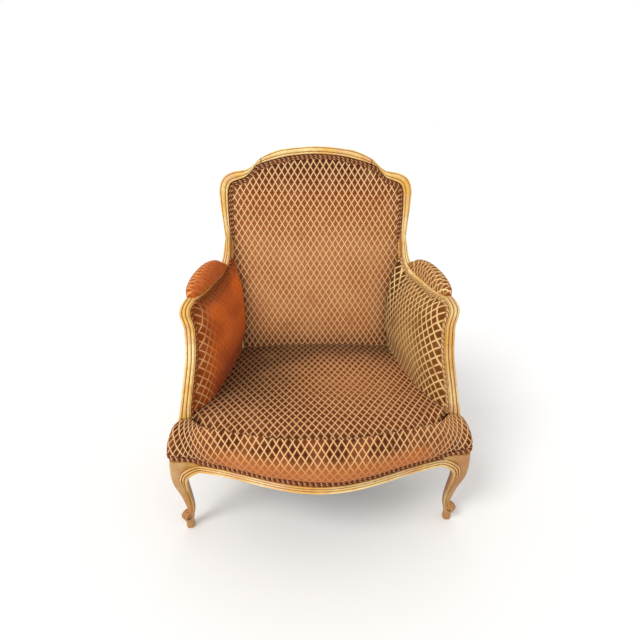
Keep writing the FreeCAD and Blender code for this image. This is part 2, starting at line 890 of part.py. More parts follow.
def seat_webbing():
    """Two layers of straps under the rails, front to back and side to side."""
    straps = []
    z = apron_bottom
    t = web_thickness
    rear = back_plane_y + web_lap
    pitch = web_span_across / web_count_across
    for i in range(web_count_across):
        x = (i - (web_count_across - 1) / 2) * pitch
        edge = min(abs(x) + web_width / 2, front_rail_half)
        front = apron_y(edge) + rail_thickness - web_lap
        straps.append(block(x - web_width / 2, x + web_width / 2, front, rear, z - t, z))
    deep = web_span_deep / web_count_deep
    for i in range(web_count_deep):
        y = web_middle_y + (i - (web_count_deep - 1) / 2) * deep
        half = seat_side_x(y + web_width / 2) - rail_thickness + web_lap
        straps.append(block(-half, half, y - web_width / 2, y + web_width / 2, z - 2 * t, z - t))
    return straps


def coil(middle, low, high):
    """An upright coil of round wire, lofted through its cross-sections."""
    steps = int(spring_turns * spring_sections)
    wires = []
    for i in range(steps + 1):
        turn = 2 * math.pi * spring_turns * i / steps
        spot = middle + V(spring_radius * math.cos(turn), spring_radius * math.sin(turn), low + (high - low) * i / steps)
        rise = (high - low) / (2 * math.pi * spring_turns)
        tangent = V(-spring_radius * math.sin(turn), spring_radius * math.cos(turn), rise)
        wires.append(Part.Wire(Part.makeCircle(spring_wire / 2, spot, tangent)))
    return loft(wires, True)


def seat_springs():
    """Coil springs that stand on the webbing and carry the canvas."""
    low = apron_bottom + spring_wire / 2 + 0.2
    high = seat_frame_top - spring_wire / 2 - 0.2
    springs = []
    for i in range(spring_columns):
        for j in range(spring_rows):
            x = (i - (spring_columns - 1) / 2) * spring_pitch_x
            y = web_middle_y + (j - (spring_rows - 1) / 2) * spring_pitch_y
            springs.append(coil(V(x, y, 0), low, high))
    return springs


def seat_canvas():
    z = seat_frame_top
    corners = [V(-canvas_front_half, canvas_front_y, z), V(canvas_front_half, canvas_front_y, z),
               V(canvas_rear_half, deck_rear_y, z), V(-canvas_rear_half, deck_rear_y, z)]
    return Part.Face(Part.makePolygon(corners + corners[:1])).extrude(UP * canvas_thickness)


def dust_cover():
    """Black cambric under the webbing, clear of the legs."""
    z = apron_bottom - 2 * web_thickness
    half = [(front_rail_half - 30, apron_y(front_rail_half - 30) + 12), (front_rail_half - 4, -130),
            (post_half_width - 20, 150), (post_half_width - 60, back_plane_y + 22)]
    front = [(x, apron_y(x) + 12) for x in (0, 60, 120, 180, 230)]
    right = front + half
    points = [V(x, y, z) for x, y in right] + [V(-x, y, z) for x, y in reversed(right[1:])]
    return Part.Face(Part.makePolygon(points + points[:1])).extrude(UP * -dust_thickness), points


def cover_tacks(points):
    """Tacks round the dust cover, drawn as their domed heads."""
    tacks = []
    closed = points + points[:1]
    for here, there in zip(closed, closed[1:]):
        count = max(1, int(here.distanceToPoint(there) // tack_pitch))
        for i in range(count):
            spot = here + (there - here) * ((i + 0.5) / count)
            inward = V(-spot.x, -spot.y, 0)
            inward.normalize()
            spot = spot + inward * (2.5 * tack_radius)
            low = spot - UP * dust_thickness
            tacks.append(Part.makeCone(tack_radius, tack_radius * 0.5, 1.0, low, V(0, 0, -1)))
    return tacks


def back_bottom_rail():
    """Lower rail of the back, behind the foot of the inside back."""
    half = post_half_width - 4 - post_inner_width + 2
    low = back_rail_low
    points = [on_back(0, low, -back_pad_margin - back_pad_plate - soft_gap)]
    points.append(points[0] - FRONT * back_rail_depth)
    up = V(0, math.sin(rake), math.cos(rake)) * back_rail_height
    corners = [points[0], points[1], points[1] + up, points[0] + up]
    shift = V(-half, 0, 0)
    face = Part.Face(Part.makePolygon([c + shift for c in corners] + [corners[0] + shift]))
    return face.extrude(V(2 * half, 0, 0))


def back_webbing(members):
    """Straps across the back frame, behind the stuffing."""
    straps = []
    up = V(0, math.sin(rake), math.cos(rake))
    near = -back_pad_margin - back_pad_plate - soft_gap
    for z in back_web_heights:
        start = on_back(-ear_half_width, z - web_width / 2, near)
        corners = [start, start + up * web_width, start + up * web_width - FRONT * web_thickness,
                   start - FRONT * web_thickness]
        strap = Part.Face(Part.makePolygon(corners + corners[:1])).extrude(V(2 * ear_half_width, 0, 0))
        straps.append(largest(cut_all(strap, members)))
    return straps


def arm_webbing():
    """Upright straps between the side rail and the arm rail, left-hand side."""
    straps = []
    top = arm_top - arm_rail_depth - 2
    low = seat_frame_top
    away = 4 * soft_gap
    for y in arm_web_places:
        wires = []
        for where in (y - web_width / 2, y + web_width / 2):
            foot = pad_outer_x(where, False) + away
            head = pad_outer_x(where, True) + away

            def place(x, z):
                return V(-x, where, z)

            wires.append(wire((foot, low), [((head, top),), ((head + web_thickness, top),),
                                            ((foot + web_thickness, low),)], place))
        straps.append(loft(wires, True))
    return straps


def corner_blocks(neighbours):
    """Triangular blocks glued and screwed in the four corners of the seat frame."""
    blocks = []
    screws = []
    z0 = seat_frame_top - 14 - block_height
    for x, y, dx, dy in ((-302, -140, 1, 1), (302, -140, -1, 1),
                         (-seat_side_x(165) + rail_thickness, back_plane_y, 1, -1),
                         (seat_side_x(165) - rail_thickness, back_plane_y, -1, -1)):
        reach = block_reach
        away = 30
        corners = [V(x - dx * away, y - dy * away, z0), V(x + dx * reach, y - dy * away, z0),
                   V(x + dx * reach, y + dy * 8, z0), V(x + dx * 8, y + dy * reach, z0),
                   V(x - dx * away, y + dy * reach, z0)]
        piece = Part.Face(Part.makePolygon(corners + corners[:1])).extrude(UP * block_height)
        for neighbour in neighbours:
            piece = piece.cut(neighbour)
        piece = largest(piece)
        middle = V(x + dx * (reach + 8) / 2, y + dy * (reach + 8) / 2, z0 + block_height / 2)
        slope = V(-dx, -dy, 0)
        slope.normalize()
        for lift in (-block_height / 4, block_height / 4):
            seat = middle + UP * lift
            shank = Part.makeCylinder(screw_radius, screw_length, seat, slope)
            head = Part.makeCone(screw_head_radius, screw_radius, 3.0, seat, slope)
            screws.append(shank.fuse(head).removeSplitter())
        blocks.append(piece)
    return blocks, screws


def dowels():
    """Dowels of the seat frame's joints."""
    pins = []
    z_levels = (apron_bottom + 40, seat_frame_top - 30)
    post_inner = front_foot_x + 2 - front_post_width
    for side in (-1, 1):
        for z in z_levels:
            y = apron_y(front_rail_half) + 16 + 4
            pins.append(Part.makeCylinder(dowel_radius, dowel_length, V(side * (post_inner - dowel_length / 2), y, z),
                                          V(side, 0, 0)))
            x = seat_side_x(side_rail_front_y) - rail_thickness / 2
            pins.append(Part.makeCylinder(dowel_radius, dowel_length,
                                          V(side * x, side_rail_front_y - dowel_length / 2, z), V(0, 1, 0)))
            x = seat_side_x(side_rail_rear_y) - rail_thickness / 2
            pins.append(Part.makeCylinder(dowel_radius, dowel_length * 0.8,
                                          V(side * x, side_rail_rear_y - dowel_length * 0.5, z), V(0, 1, 0)))
            x = post_half_width - 4 - post_inner_width
            pins.append(Part.makeCylinder(dowel_radius, dowel_length,
                                          V(side * (x - dowel_length / 2), back_plane_y + rail_thickness / 2, z),
                                          V(side, 0, 0)))
    return pins


def cut_all(shape, tools):
    for tool in tools:
        if shape.BoundBox.intersect(tool.BoundBox):
            shape = shape.cut(tool)
    return shape


arm_joint = len(support_edges()[0]) - 1
arm_rail_end = arm_joint + len(arm_edges()[0]) - 1
crest = crest_rail()
post_left = rear_post()
post_right = mirrored(post_left)
leg_left = front_leg()
leg_right = mirrored(leg_left)
apron = front_rail()
side_left = side_rail()
side_right = mirrored(side_left)
rear = rear_rail()
blocks, screws = corner_blocks([apron, rear, side_left, side_right, leg_left, leg_right, post_left, post_right])
pins = dowels()
export("joint_dowels", *pins)
export("corner_block_screws", *screws)
fasteners = screws + pins
export("corner_blocks", *[cut_all(b, fasteners) for b in blocks])
export("crest_rail", crest)
export("rear_post_left", cut_all(post_left, fasteners))
export("rear_post_right", cut_all(post_right, fasteners))
export("front_leg_left", cut_all(leg_left, fasteners))
export("front_leg_right", cut_all(leg_right, fasteners))
export("front_seat_rail", cut_all(apron, fasteners))
export("side_seat_rail_left", cut_all(side_left, fasteners))
export("side_seat_rail_right", cut_all(side_right, fasteners))
export("rear_seat_rail", cut_all(rear, fasteners))
export("back_bottom_rail", back_bottom_rail())
support = arm_support()
rail = largest(cut_all(arm_rail(), [post_left, support]))
export_pair("arm_support", support)
export_pair("arm_rail", rail)
export("seat_webbing", *seat_webbing())
export("seat_springs", *seat_springs())
export("seat_canvas", seat_canvas())
cover, cover_points = dust_cover()
export("dust_cover", cover)
export("dust_cover_tacks", *cover_tacks(cover_points))
inside_back = back_pad().cut(crest)
export("seat_deck", seat_deck(inside_back))
export("seat_front_roll", front_roll())
export("inside_back_pad", inside_back)
export("back_webbing", *back_webbing((post_left, post_right, crest)))
export_pair("inside_arm_pad", inside_arm_pad(inside_back, support, rail, post_left))
export("outside_back_cover", outside_back_cover())
export_pair("outside_arm_cover", outside_arm_cover().cut(support))
webs = arm_webbing()
export("arm_webbing_left", *webs)
export("arm_webbing_right", *[mirrored(w) for w in webs])
export_pair("manchette", manchette())
export_pair("inside_arm_welt", inside_welt())
export_pair("outside_arm_welt", arm_welt(-1, 1.0, arm_rail_end - 2.5, 36).cut(support))
export("inside_back_welt", back_welt().cut(crest))
export("outside_back_welt", outside_back_welt())
export("seat_welt", largest(cut_all(seat_welt(), [leg_left, leg_right, apron])))
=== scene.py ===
import math

import bpy
import numpy as np
from mathutils import Matrix


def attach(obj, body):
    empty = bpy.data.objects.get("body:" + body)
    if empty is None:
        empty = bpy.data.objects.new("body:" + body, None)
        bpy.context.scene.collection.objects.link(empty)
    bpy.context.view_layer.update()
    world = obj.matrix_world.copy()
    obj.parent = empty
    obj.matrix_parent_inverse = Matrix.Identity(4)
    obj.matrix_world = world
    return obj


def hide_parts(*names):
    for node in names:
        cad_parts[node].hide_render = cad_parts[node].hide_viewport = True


# A wide show-wood bergere in lattice cloth. Sizes are in millimetres, in the part's own working frame,
# and placed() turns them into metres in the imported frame.
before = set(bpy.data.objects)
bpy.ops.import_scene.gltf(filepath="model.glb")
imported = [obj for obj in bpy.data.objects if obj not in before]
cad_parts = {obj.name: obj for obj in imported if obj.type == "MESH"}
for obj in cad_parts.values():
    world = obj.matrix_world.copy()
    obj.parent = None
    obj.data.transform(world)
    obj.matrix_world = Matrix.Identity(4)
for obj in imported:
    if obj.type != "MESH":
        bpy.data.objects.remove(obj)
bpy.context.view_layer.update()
BODY = "root"
MIDDLE_Y = -6.0
RAKE = math.radians(9.2)
BACK_Y = 166.0
FRAME_TOP = 330.0
BACK_LOW = 340.0
CREST = 949.0
SHOULDER = 806.0
EAR = 276.0
BACK_DEPTH = 36.0
APRON_Y = -192.0
APRON_BOW = 86.0
APRON_SPAN = 360.0
APRON_LOW = 219.0
LIP = 20.0
LIP_PROUD = 8.0
WELT = 13.0
COVER_INSET = 24.0
DECK_CROWN = 364.0
DECK_EDGE = 354.0
DECK_FRONT = -212.0
DECK_REAR = 170.0
SWING = 56.0
FOOT_Y = -168.0
KNEE_TOP = 254.0
HANDS = {-1: "left", 1: "right"}
PHOTO_PIXELS = 640
FOCAL_PIXELS = 446.5
CAMERA_AT = (-59.8, -1068.7, 1008.6)
CAMERA_TURN = (3.236, 23.822, 0.76)
FRONT = np.array([0.0, -math.cos(RAKE), math.sin(RAKE)])
UP = np.array([0.0, 0.0, 1.0])


# Shapes from numbers.
def placed(points):
    points = np.asarray(points, float)
    return (points - np.array([0.0, MIDDLE_Y, 0.0])) / 1000.0


def unit(vectors):
    vectors = np.asarray(vectors, float)
    return vectors / np.maximum(np.linalg.norm(vectors, axis=-1, keepdims=True), 1e-9)


def spline(points):
    """A smooth curve through points; its parameter counts them."""
    p = np.array(points, float)
    n = len(p)
    system = np.eye(n)
    right = np.zeros_like(p)
    for i in range(1, n - 1):
        system[i, i - 1:i + 2] = (1, 4, 1)
        right[i] = 6 * (p[i + 1] - 2 * p[i] + p[i - 1])
    bend = np.linalg.solve(system, right)

    def value(t):
        t = np.clip(np.asarray(t, float), 0, n - 1)
        i = np.minimum(t.astype(int), n - 2)
        f = (t - i)[..., None]
        g = 1 - f
        return p[i] * g + p[i + 1] * f + ((g ** 3 - g) * bend[i] + (f ** 3 - f) * bend[i + 1]) / 6

    value.last = n - 1
    return value


def even(curve, count, other=None):
    """Parameters spaced evenly along a curve, or along the middle of two."""
    t = np.linspace(0, curve.last, 1200)
    p = curve(t) if other is None else (curve(t) + other(t)) / 2
    run = np.concatenate([[0], np.cumsum(np.linalg.norm(np.diff(p, axis=0), axis=1))])
    return np.interp(np.linspace(0, run[-1], count), run, t)


def lengths(points):
    return np.concatenate([[0], np.cumsum(np.linalg.norm(np.diff(points, axis=0), axis=-1))])


def smooth(x, low=0.0, high=1.0):
    t = np.clip((np.asarray(x, float) - low) / (high - low), 0, 1)
    return t * t * (3 - 2 * t)


def shrunk(half, inset, wide=EAR, top=CREST):
    """The right half of a back's outline, drawn in towards its middle."""
    high = (top - BACK_LOW) / 2
    middle = BACK_LOW + high
    return [(x * (wide - inset) / wide, middle + (z - middle) * (high - inset) / high) for x, z in half]


def back_y(z):
    return BACK_Y + (z - FRAME_TOP) * math.tan(RAKE)


def on_back(x, z, proud=0.0):
    x, z, proud = np.broadcast_arrays(np.asarray(x, float), z, proud)
    plane = np.stack([x, back_y(z), z], -1)
    return plane + FRONT * proud[..., None]


def mirrored(points):
    return np.asarray(points, float) * np.array([-1.0, 1.0, 1.0])


# Meshes.
def mesh_object(name, points, faces, attributes=(), angle=40.0):
    mesh = bpy.data.meshes.new(name)
    mesh.from_pydata(placed(points).tolist(), [], faces)
    for key, kind, values in attributes:
        layer = mesh.attributes.new(key, kind, "POINT")
        field = {"FLOAT": "value", "FLOAT_VECTOR": "vector", "FLOAT_COLOR": "color"}[kind]
        layer.data.foreach_set(field, np.asarray(values, np.float32).ravel())
    mesh.update()
    mesh.shade_smooth()
    mesh.set_sharp_from_angle(angle=math.radians(angle))
    made = bpy.data.objects.new(name, mesh)
    bpy.context.collection.objects.link(made)
    return made


class Sheet:
    """Rows of points with the cloth's or the wood's data on each point."""

    def __init__(self, rows, wrap=False, caps=False, **data):
        self.rows = np.asarray(rows, float)
        self.wrap = wrap
        self.caps = caps
        self.data = data

    def flipped(self):
        data = {k: v[:, ::-1] for k, v in self.data.items()}
        return Sheet(self.rows[:, ::-1], self.wrap, self.caps, **data)

    def mirror(self):
        return Sheet(mirrored(self.rows), self.wrap, self.caps, **self.data).flipped()

    def faces(self, start):
        r, c = self.rows.shape[:2]
        span = c if self.wrap else c - 1
        i, j = np.meshgrid(np.arange(r - 1), np.arange(span), indexing="ij")
        k = (j + 1) % c
        quads = np.stack([i * c + j, i * c + k, (i + 1) * c + k, (i + 1) * c + j], -1).reshape(-1, 4) + start
        out = quads.tolist()
        if self.caps:
            out.append([start + j for j in reversed(range(c))])
            out.append([start + (r - 1) * c + j for j in range(c)])
        return out


def carved(rows, groove):
    """A closed wooden form with painted shade in it by the given amount."""
    rows = np.array(rows)
    spread = rows.shape[:2] + (1,)
    return Sheet(rows, True, True, groove=np.broadcast_to(groove, spread), shade=np.zeros(spread))


def covering(rows, tint, u, v, lines=1.0, closed=False):
    """Cloth with its colours, its place in the flat weave and how strongly the lattice shows."""
    lines = np.broadcast_to(lines, rows.shape[:2])[..., None]
    return Sheet(rows, closed, closed, tint=tint, weave=np.stack([u, v, u * 0], -1) / 1000, lines=lines)


KINDS = {"groove": ("FLOAT", 1), "shade": ("FLOAT", 1), "lines": ("FLOAT", 1),
         "weave": ("FLOAT_VECTOR", 3), "tint": ("FLOAT_COLOR", 4)}


def joined(name, sheets, angle=40.0):
    points = []
    faces = []
    keys = [k for k in KINDS if any(k in s.data for s in sheets)]
    values = {k: [] for k in keys}
    for sheet in sheets:
        faces += sheet.faces(sum(len(p) for p in points))
        flat = sheet.rows.reshape(-1, 3)
        points.append(flat)
        for k in keys:
            width = KINDS[k][1]
            got = sheet.data.get(k)
            if got is None:
                got = np.zeros(sheet.rows.shape[:2] + (width,))
            values[k].append(np.asarray(got, float).reshape(len(flat), width))
    attributes = [(k, KINDS[k][0], np.concatenate(values[k])) for k in keys]
    return mesh_object(name, np.concatenate(points), faces, attributes, angle)


def piece(made, material, slot, *nodes):
    made.data.materials.clear()
    made.data.materials.append(material)
    if nodes:
        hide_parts(*nodes)
    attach(made, BODY)
    return made


# Materials.
def rgb(code):
    channels = [int(code[i:i + 2], 16) / 255 for i in (1, 3, 5)]
    return tuple(c / 12.92 if c <= 0.04045 else ((c + 0.055) / 1.055) ** 2.4 for c in channels) + (1.0,)


class Nodes:
    """Short calls that build a material's or the world's node tree."""

    def __init__(self, name, made=None, shader="Principled BSDF"):
        self.made = made or bpy.data.materials.new(name)
        self.made.use_nodes = True
        self.tree = self.made.node_tree
        self.shader = self.tree.nodes[shader]

    def put(self, socket, value):
        if isinstance(value, bpy.types.NodeSocket):
            self.tree.links.new(value, socket)
        else:
            socket.default_value = rgb(value) if isinstance(value, str) else value

    def add(self, kind, inputs, out=0, **props):
        node = self.tree.nodes.new(kind)
        for key, value in props.items():
            setattr(node, key, value)
        for key, value in inputs.items():
            self.put(node.inputs[key], value)
        return node.outputs[out]

    def math(self, operation, a, b=0.0, c=0.0):
        return self.add("ShaderNodeMath", {0: a, 1: b, 2: c}, operation=operation)

    def times(self, a, b):
        return self.math("MULTIPLY", a, b)

    def plus(self, a, b):
        return self.math("ADD", a, b)

    def less(self, a, b):
        return self.math("SUBTRACT", a, b)

    def read(self, name, out="Fac"):
        return self.add("ShaderNodeAttribute", {}, out, attribute_name=name)

    def split(self, vector):
        node = self.tree.nodes.new("ShaderNodeSeparateXYZ")
        self.put(node.inputs[0], vector)
        return node.outputs

    def noise(self, vector, scale, detail=3.0, rough=0.5):
        sockets = {"Vector": vector, "Scale": scale, "Detail": detail, "Roughness": rough}
        return self.add("ShaderNodeTexNoise", sockets)

    def ramp(self, factor, low, high):
        return self.add("ShaderNodeMapRange", {"Value": factor, "From Min": low, "From Max": high},
                        interpolation_type="SMOOTHSTEP")

    def mix(self, factor, a, b, blend="MIX"):
        node = self.tree.nodes.new("ShaderNodeMix")
        node.data_type = "RGBA"
        node.blend_type = blend
        self.put(node.inputs[0], factor)
        self.put(node.inputs[6], a)
        self.put(node.inputs[7], b)
        return node.outputs[2]

    def bump(self, height, strength, distance):
        return self.add("ShaderNodeBump", {"Height": height, "Strength": strength, "Distance": distance})

    def finish(self, **sockets):
        for key, value in sockets.items():
            self.put(self.shader.inputs[key.replace("_", " ")], value)
        return self.made


def painted_wood():
    """Cream and gold paint with stains and dirt, light on the beads; painted shade darkens the grooves and
    the shade attribute's parts.
    """
    n = Nodes("painted_wood")
    where = n.add("ShaderNodeTexCoord", {}, "Object")
    groove = n.read("groove")
    shade = n.read("shade")
    broad = n.noise(where, 9.0, 4.0, 0.6)
    fine = n.noise(where, 90.0, 4.0, 0.65)
    stretched = n.add("ShaderNodeMapping", {"Vector": where, "Scale": (60.0, 60.0, 14.0)})
    grain = n.noise(stretched, 7.0, 3.0, 0.6)
    base = n.mix(n.ramp(broad, 0.36, 0.64), "#e6b24e", "#f9e09c")
    base = n.mix(n.times(n.ramp(fine, 0.5, 0.72), 0.35), base, "#b67c36")
    # The groove attribute is painted shade: it deepens the grain streaks here and, mixed with dirt noise,
    # darkens the grooves below.
    streak = n.plus(grain, n.times(groove, 0.3))
    base = n.mix(n.times(n.ramp(streak, 0.55, 0.8), 0.6), base, "#a87433")
    base = n.mix(n.times(n.ramp(n.noise(where, 21.0, 3.0), 0.48, 0.66), 0.55), base, "#e2ac7c")
    shade_and_dirt = n.plus(groove, n.times(n.less(fine, 0.5), 0.7))
    base = n.mix(n.ramp(shade_and_dirt, 0.22, 0.8), base, "#aa6e3c")
    base = n.mix(n.ramp(shade_and_dirt, 0.7, 1.2), base, "#74421f")
    # Painted shade from the shade attribute: on the legs, the right-hand arm and the notches at the crest's
    # joints.
    base = n.mix(shade, base, "#a06c30", "MULTIPLY")
    rough = n.math("MULTIPLY_ADD", fine, 0.25, 0.34)
    height = n.plus(n.times(grain, 0.6), n.times(fine, 0.5))
    return n.finish(Base_Color=base, Roughness=rough, Normal=n.bump(height, 0.25, 0.0006), Coat_Weight=0.12,
                    Coat_Roughness=0.35)


DIAMOND_WIDE = 0.018
DIAMOND_TALL = 0.0284
THREAD_RATE = 5200.0


def lattice_cloth(name, thread, thickness=0.085):
    """Woven lattice: raised pale threads around darker diamonds."""
    n = Nodes(name)
    weave = n.read("weave", "Vector")
    tint = n.read("tint", "Color")
    strength = n.read("lines")
    wobble = n.add("ShaderNodeTexNoise", {"Vector": weave, "Scale": 60.0, "Detail": 2.0}, "Color")
    wobble = n.add("ShaderNodeVectorMath", {0: wobble, 1: (0.5, 0.5, 0.5)}, operation="SUBTRACT")
    wobble = n.add("ShaderNodeVectorMath", {0: wobble, "Scale": 0.0022}, operation="SCALE")
    bent = n.add("ShaderNodeVectorMath", {0: weave, 1: wobble}, operation="ADD")
    across = n.split(bent)
    p = n.times(across[0], 1 / DIAMOND_WIDE)
    q = n.times(across[1], 1 / DIAMOND_TALL)
    gaps = []
    for combined in (n.plus(p, q), n.less(p, q)):
        gaps.append(n.math("PINGPONG", combined, 0.5))
    near = n.math("MINIMUM", gaps[0], gaps[1])
    speckle = n.noise(weave, 900.0, 2.0, 0.7)
    patch = n.noise(weave, 16.0, 3.0, 0.6)
    edge = n.math("MULTIPLY_ADD", n.less(speckle, 0.5), 0.07, near)
    line = n.less(1.0, n.ramp(edge, thickness * 0.72, thickness * 1.22))
    line = n.times(line, strength)
    line = n.times(line, n.ramp(patch, 0.12, 0.46))
    inside = n.ramp(near, 0.14, 0.34)
    ground = n.mix(inside, n.mix(0.16, tint, "#d39058"), tint)
    ground = n.mix(n.ramp(speckle, 0.54, 0.66), ground, n.mix(0.24, tint, "#d8924e"))
    ground = n.mix(n.ramp(n.less(1.0, speckle), 0.54, 0.66), ground, n.mix(0.5, tint, "#2c0f04"))
    wear_and_shade = n.mix(n.times(n.ramp(patch, 0.5, 0.74), 0.5), ground, n.mix(0.3, tint, "#d8a070"))
    colour = n.mix(line, wear_and_shade, thread)
    warp, weft = (n.math("SINE", n.times(n.split(weave)[k], THREAD_RATE)) for k in (0, 1))
    threads = n.times(n.times(warp, weft), 0.18)
    height = n.plus(n.plus(line, threads), n.times(speckle, 0.5))
    return n.finish(Base_Color=colour, Roughness=0.88, Normal=n.bump(height, 0.55, 0.0009), Sheen_Weight=0.03,
                    Sheen_Roughness=0.5, Specular_IOR_Level=0.12)


def welt_cloth(name, middle, deep, stitch):
    """Cord with pale slanting stitches."""
    n = Nodes(name)
    weave = n.split(n.read("weave", "Vector"))
    noise = n.noise(n.read("weave", "Vector"), 500.0, 2.0)
    slant = n.math("MULTIPLY_ADD", weave[1], 90.0, n.times(weave[0], 78.0))
    run = n.math("FRACT", n.math("MULTIPLY_ADD", noise, 0.12, slant))
    pale = n.less(1.0, n.ramp(run, 0.16, 0.24))
    rise = n.ramp(run, 0.0, 0.06)
    pale = n.times(pale, rise)
    dark = n.ramp(run, 0.55, 0.8)
    colour = n.mix(dark, middle, deep)
    colour = n.mix(n.times(n.ramp(noise, 0.5, 0.66), 0.6), colour, n.mix(0.4, middle, stitch))
    colour = n.mix(pale, colour, stitch)
    height = n.plus(n.times(pale, 0.7), n.times(noise, 0.5))
    return n.finish(Base_Color=colour, Roughness=0.85, Normal=n.bump(height, 0.6, 0.001),
                    Specular_IOR_Level=0.12)


def plain(name, colour, second, scale, rough, metal=0.0, bump=0.2):
    """A two-tone material for the inside pieces."""
    n = Nodes(name)
    where = n.add("ShaderNodeTexCoord", {}, "Object")
    noise = n.noise(where, scale, 4.0, 0.6)
    fine = n.noise(where, scale * 9, 3.0, 0.6)
    base = n.mix(n.ramp(noise, 0.35, 0.65), colour, second)
    return n.finish(Base_Color=base, Roughness=n.math("MULTIPLY_ADD", fine, 0.2, rough - 0.1), Metallic=metal,
                    Normal=n.bump(fine, bump, 0.0005))


def floor_paint():
    n = Nodes("studio_floor")
    where = n.add("ShaderNodeTexCoord", {}, "Object")
    tone = n.mix(n.noise(where, 0.8, 2.0), "#fcfcfc", "#fefefe")
    return n.finish(Base_Color=tone, Roughness=0.9, Specular_IOR_Level=0.05)


WOOD = painted_wood()
BACK_CLOTH = lattice_cloth("back_cloth", "#efc490")
SEAT_CLOTH = lattice_cloth("seat_cloth", "#eebb80")
# Lit and shaded copies of one fabric: the left arm's cloth and cords are painted as the shaded side, the
# right arm's as the lit side.
ARM_CLOTH = {-1: lattice_cloth("left_arm_cloth", "#f0b878", 0.07),
             1: lattice_cloth("right_arm_cloth", "#eecb8c", 0.095)}
WELT_CLOTH = welt_cloth("welt_cord", "#7a3410", "#3f1304", "#efc08c")
ARM_WELT = {"left": welt_cloth("left_arm_cord", "#8a3a10", "#561c06", "#d08a50"),
            "right": welt_cloth("right_arm_cord", "#c49458", "#8a5a2a", "#f4dcae")}
BEECH = plain("bare_beech", "#c69a6c", "#b3855a", 22.0, 0.6)
STEEL = plain("steel", "#8d8f92", "#6f7276", 60.0, 0.4, 1.0)
JUTE = plain("jute", "#b89a6a", "#9c7d50", 260.0, 0.9, 0.0, 0.6)
CAMBRIC = plain("black_cambric", "#1b1a1b", "#262425", 400.0, 0.95, 0.0, 0.5)


# Mouldings, from the outer edge: share of the width, millimetres proud, and how deep in a groove, which sets
# its painted shade.
BACK_PROFILE = [
    (0.0, -8, 0.3), (0.0, -3.6, 0.1), (0.02, -1.8, 0), (0.06, -0.7, 0), (0.11, -0.3, 0),
    (0.15, -0.7, 0.4), (0.18, -1.5, 1.0), (0.21, -1.0, 0.8), (0.25, 0.2, 0.1), (0.32, 1.0, 0),
    (0.42, 1.4, 0), (0.52, 1.2, 0), (0.6, 0.5, 0.1), (0.64, -0.5, 0.6), (0.67, -1.3, 1.0),
    (0.7, -0.9, 0.8), (0.74, 0.0, 0.1), (0.8, 0.4, 0), (0.87, 0.3, 0), (0.92, -0.6, 0.3),
    (0.96, -2.2, 0.7), (1.0, -4.5, 1.0), (1.0, -9, 1.0)]
REED_PROFILE = [
    (0.0, -9, 0.3), (0.0, -4, 0.1), (0.03, -1.6, 0), (0.08, -0.3, 0), (0.14, 0.3, 0), (0.2, 0.1, 0.1),
    (0.24, -0.8, 0.7), (0.27, -1.6, 1.0), (0.3, -0.8, 0.7), (0.34, 0.3, 0.1), (0.4, 0.9, 0),
    (0.47, 1.0, 0), (0.54, 0.6, 0.1), (0.58, -0.6, 0.7), (0.61, -1.6, 1.0), (0.64, -0.9, 0.7),
    (0.68, 0.1, 0.1), (0.74, 0.6, 0), (0.8, 0.5, 0), (0.86, -0.3, 0.2), (0.9, -1.5, 0.8),
    (0.93, -1.1, 0.6), (0.97, -1.4, 0.2), (1.0, -4, 0.6), (1.0, -9, 0.8)]
STRIP_PROFILE = [
    (0.0, -4.5, 0.8), (0.0, -1.2, 0.6), (0.04, 0.6, 0), (0.09, 1.5, 0), (0.14, 1.4, 0), (0.19, 0.4, 0.5),
    (0.24, -1.2, 1.1), (0.3, -0.6, 0.8), (0.35, 1.3, 0.1), (0.41, 2.0, 0), (0.47, 1.6, 0),
    (0.52, 0.5, 0.4), (0.57, -1.0, 1.1), (0.63, -0.5, 0.8), (0.69, 1.3, 0.1), (0.78, 2.0, 0),
    (0.87, 1.7, 0), (0.94, 0.8, 0), (0.99, -0.6, 0.1), (1.0, -4.5, 0.4)]
FLAT_PROFILE = [
    (0.0, -9, 0.2), (0.0, -4, 0.1), (0.04, -1.4, 0), (0.1, -0.3, 0), (0.2, 0, 0.1), (0.5, 0, 0.2),
    (0.8, 0, 0.2), (0.9, -0.4, 0.1), (0.96, -1.6, 0.2), (1.0, -4, 0.4), (1.0, -9, 0.6)]


def moulding(outer, inner, face, depth, count, profile=BACK_PROFILE, first=0.0, last=None, proud=None):
    """Sweep a profile between two edges. face gives the outward direction at each station."""
    t = even(outer, 1500, inner)
    t = t[(t >= first) & (t <= (outer.last if last is None else last))]
    t = np.interp(np.linspace(0, 1, count), np.linspace(0, 1, len(t)), t)
    a = outer(t)
    across = inner(t) - a
    width = np.linalg.norm(across, axis=1, keepdims=True)
    across = across / width
    out = face(t) if callable(face) else np.broadcast_to(face, a.shape)
    out = unit(out - across * np.sum(out * across, axis=1, keepdims=True))
    lift = np.zeros(len(t)) if proud is None else proud(t)
    shape = [(0.0, -depth, 0.2)] + profile + [(1.0, -depth, 0.2)]
    rows = []
    for u, h, _ in shape:
        high = np.where(h > -depth + 0.1, h + lift, h)[:, None]
        rows.append(a + across * (u * width) + out * high)
    return carved(np.stack(rows, 1), np.array([g for _, _, g in shape])[None, :, None])


# Outline of the back, right half, outer and inner edge.
def ear(shoulder, crest_line):
    """Points in from the ear and up from the shoulder, then points across and down from the crest."""
    return [(EAR - x, SHOULDER + z) for x, z in shoulder] + [(x, CREST - z) for x, z in crest_line]


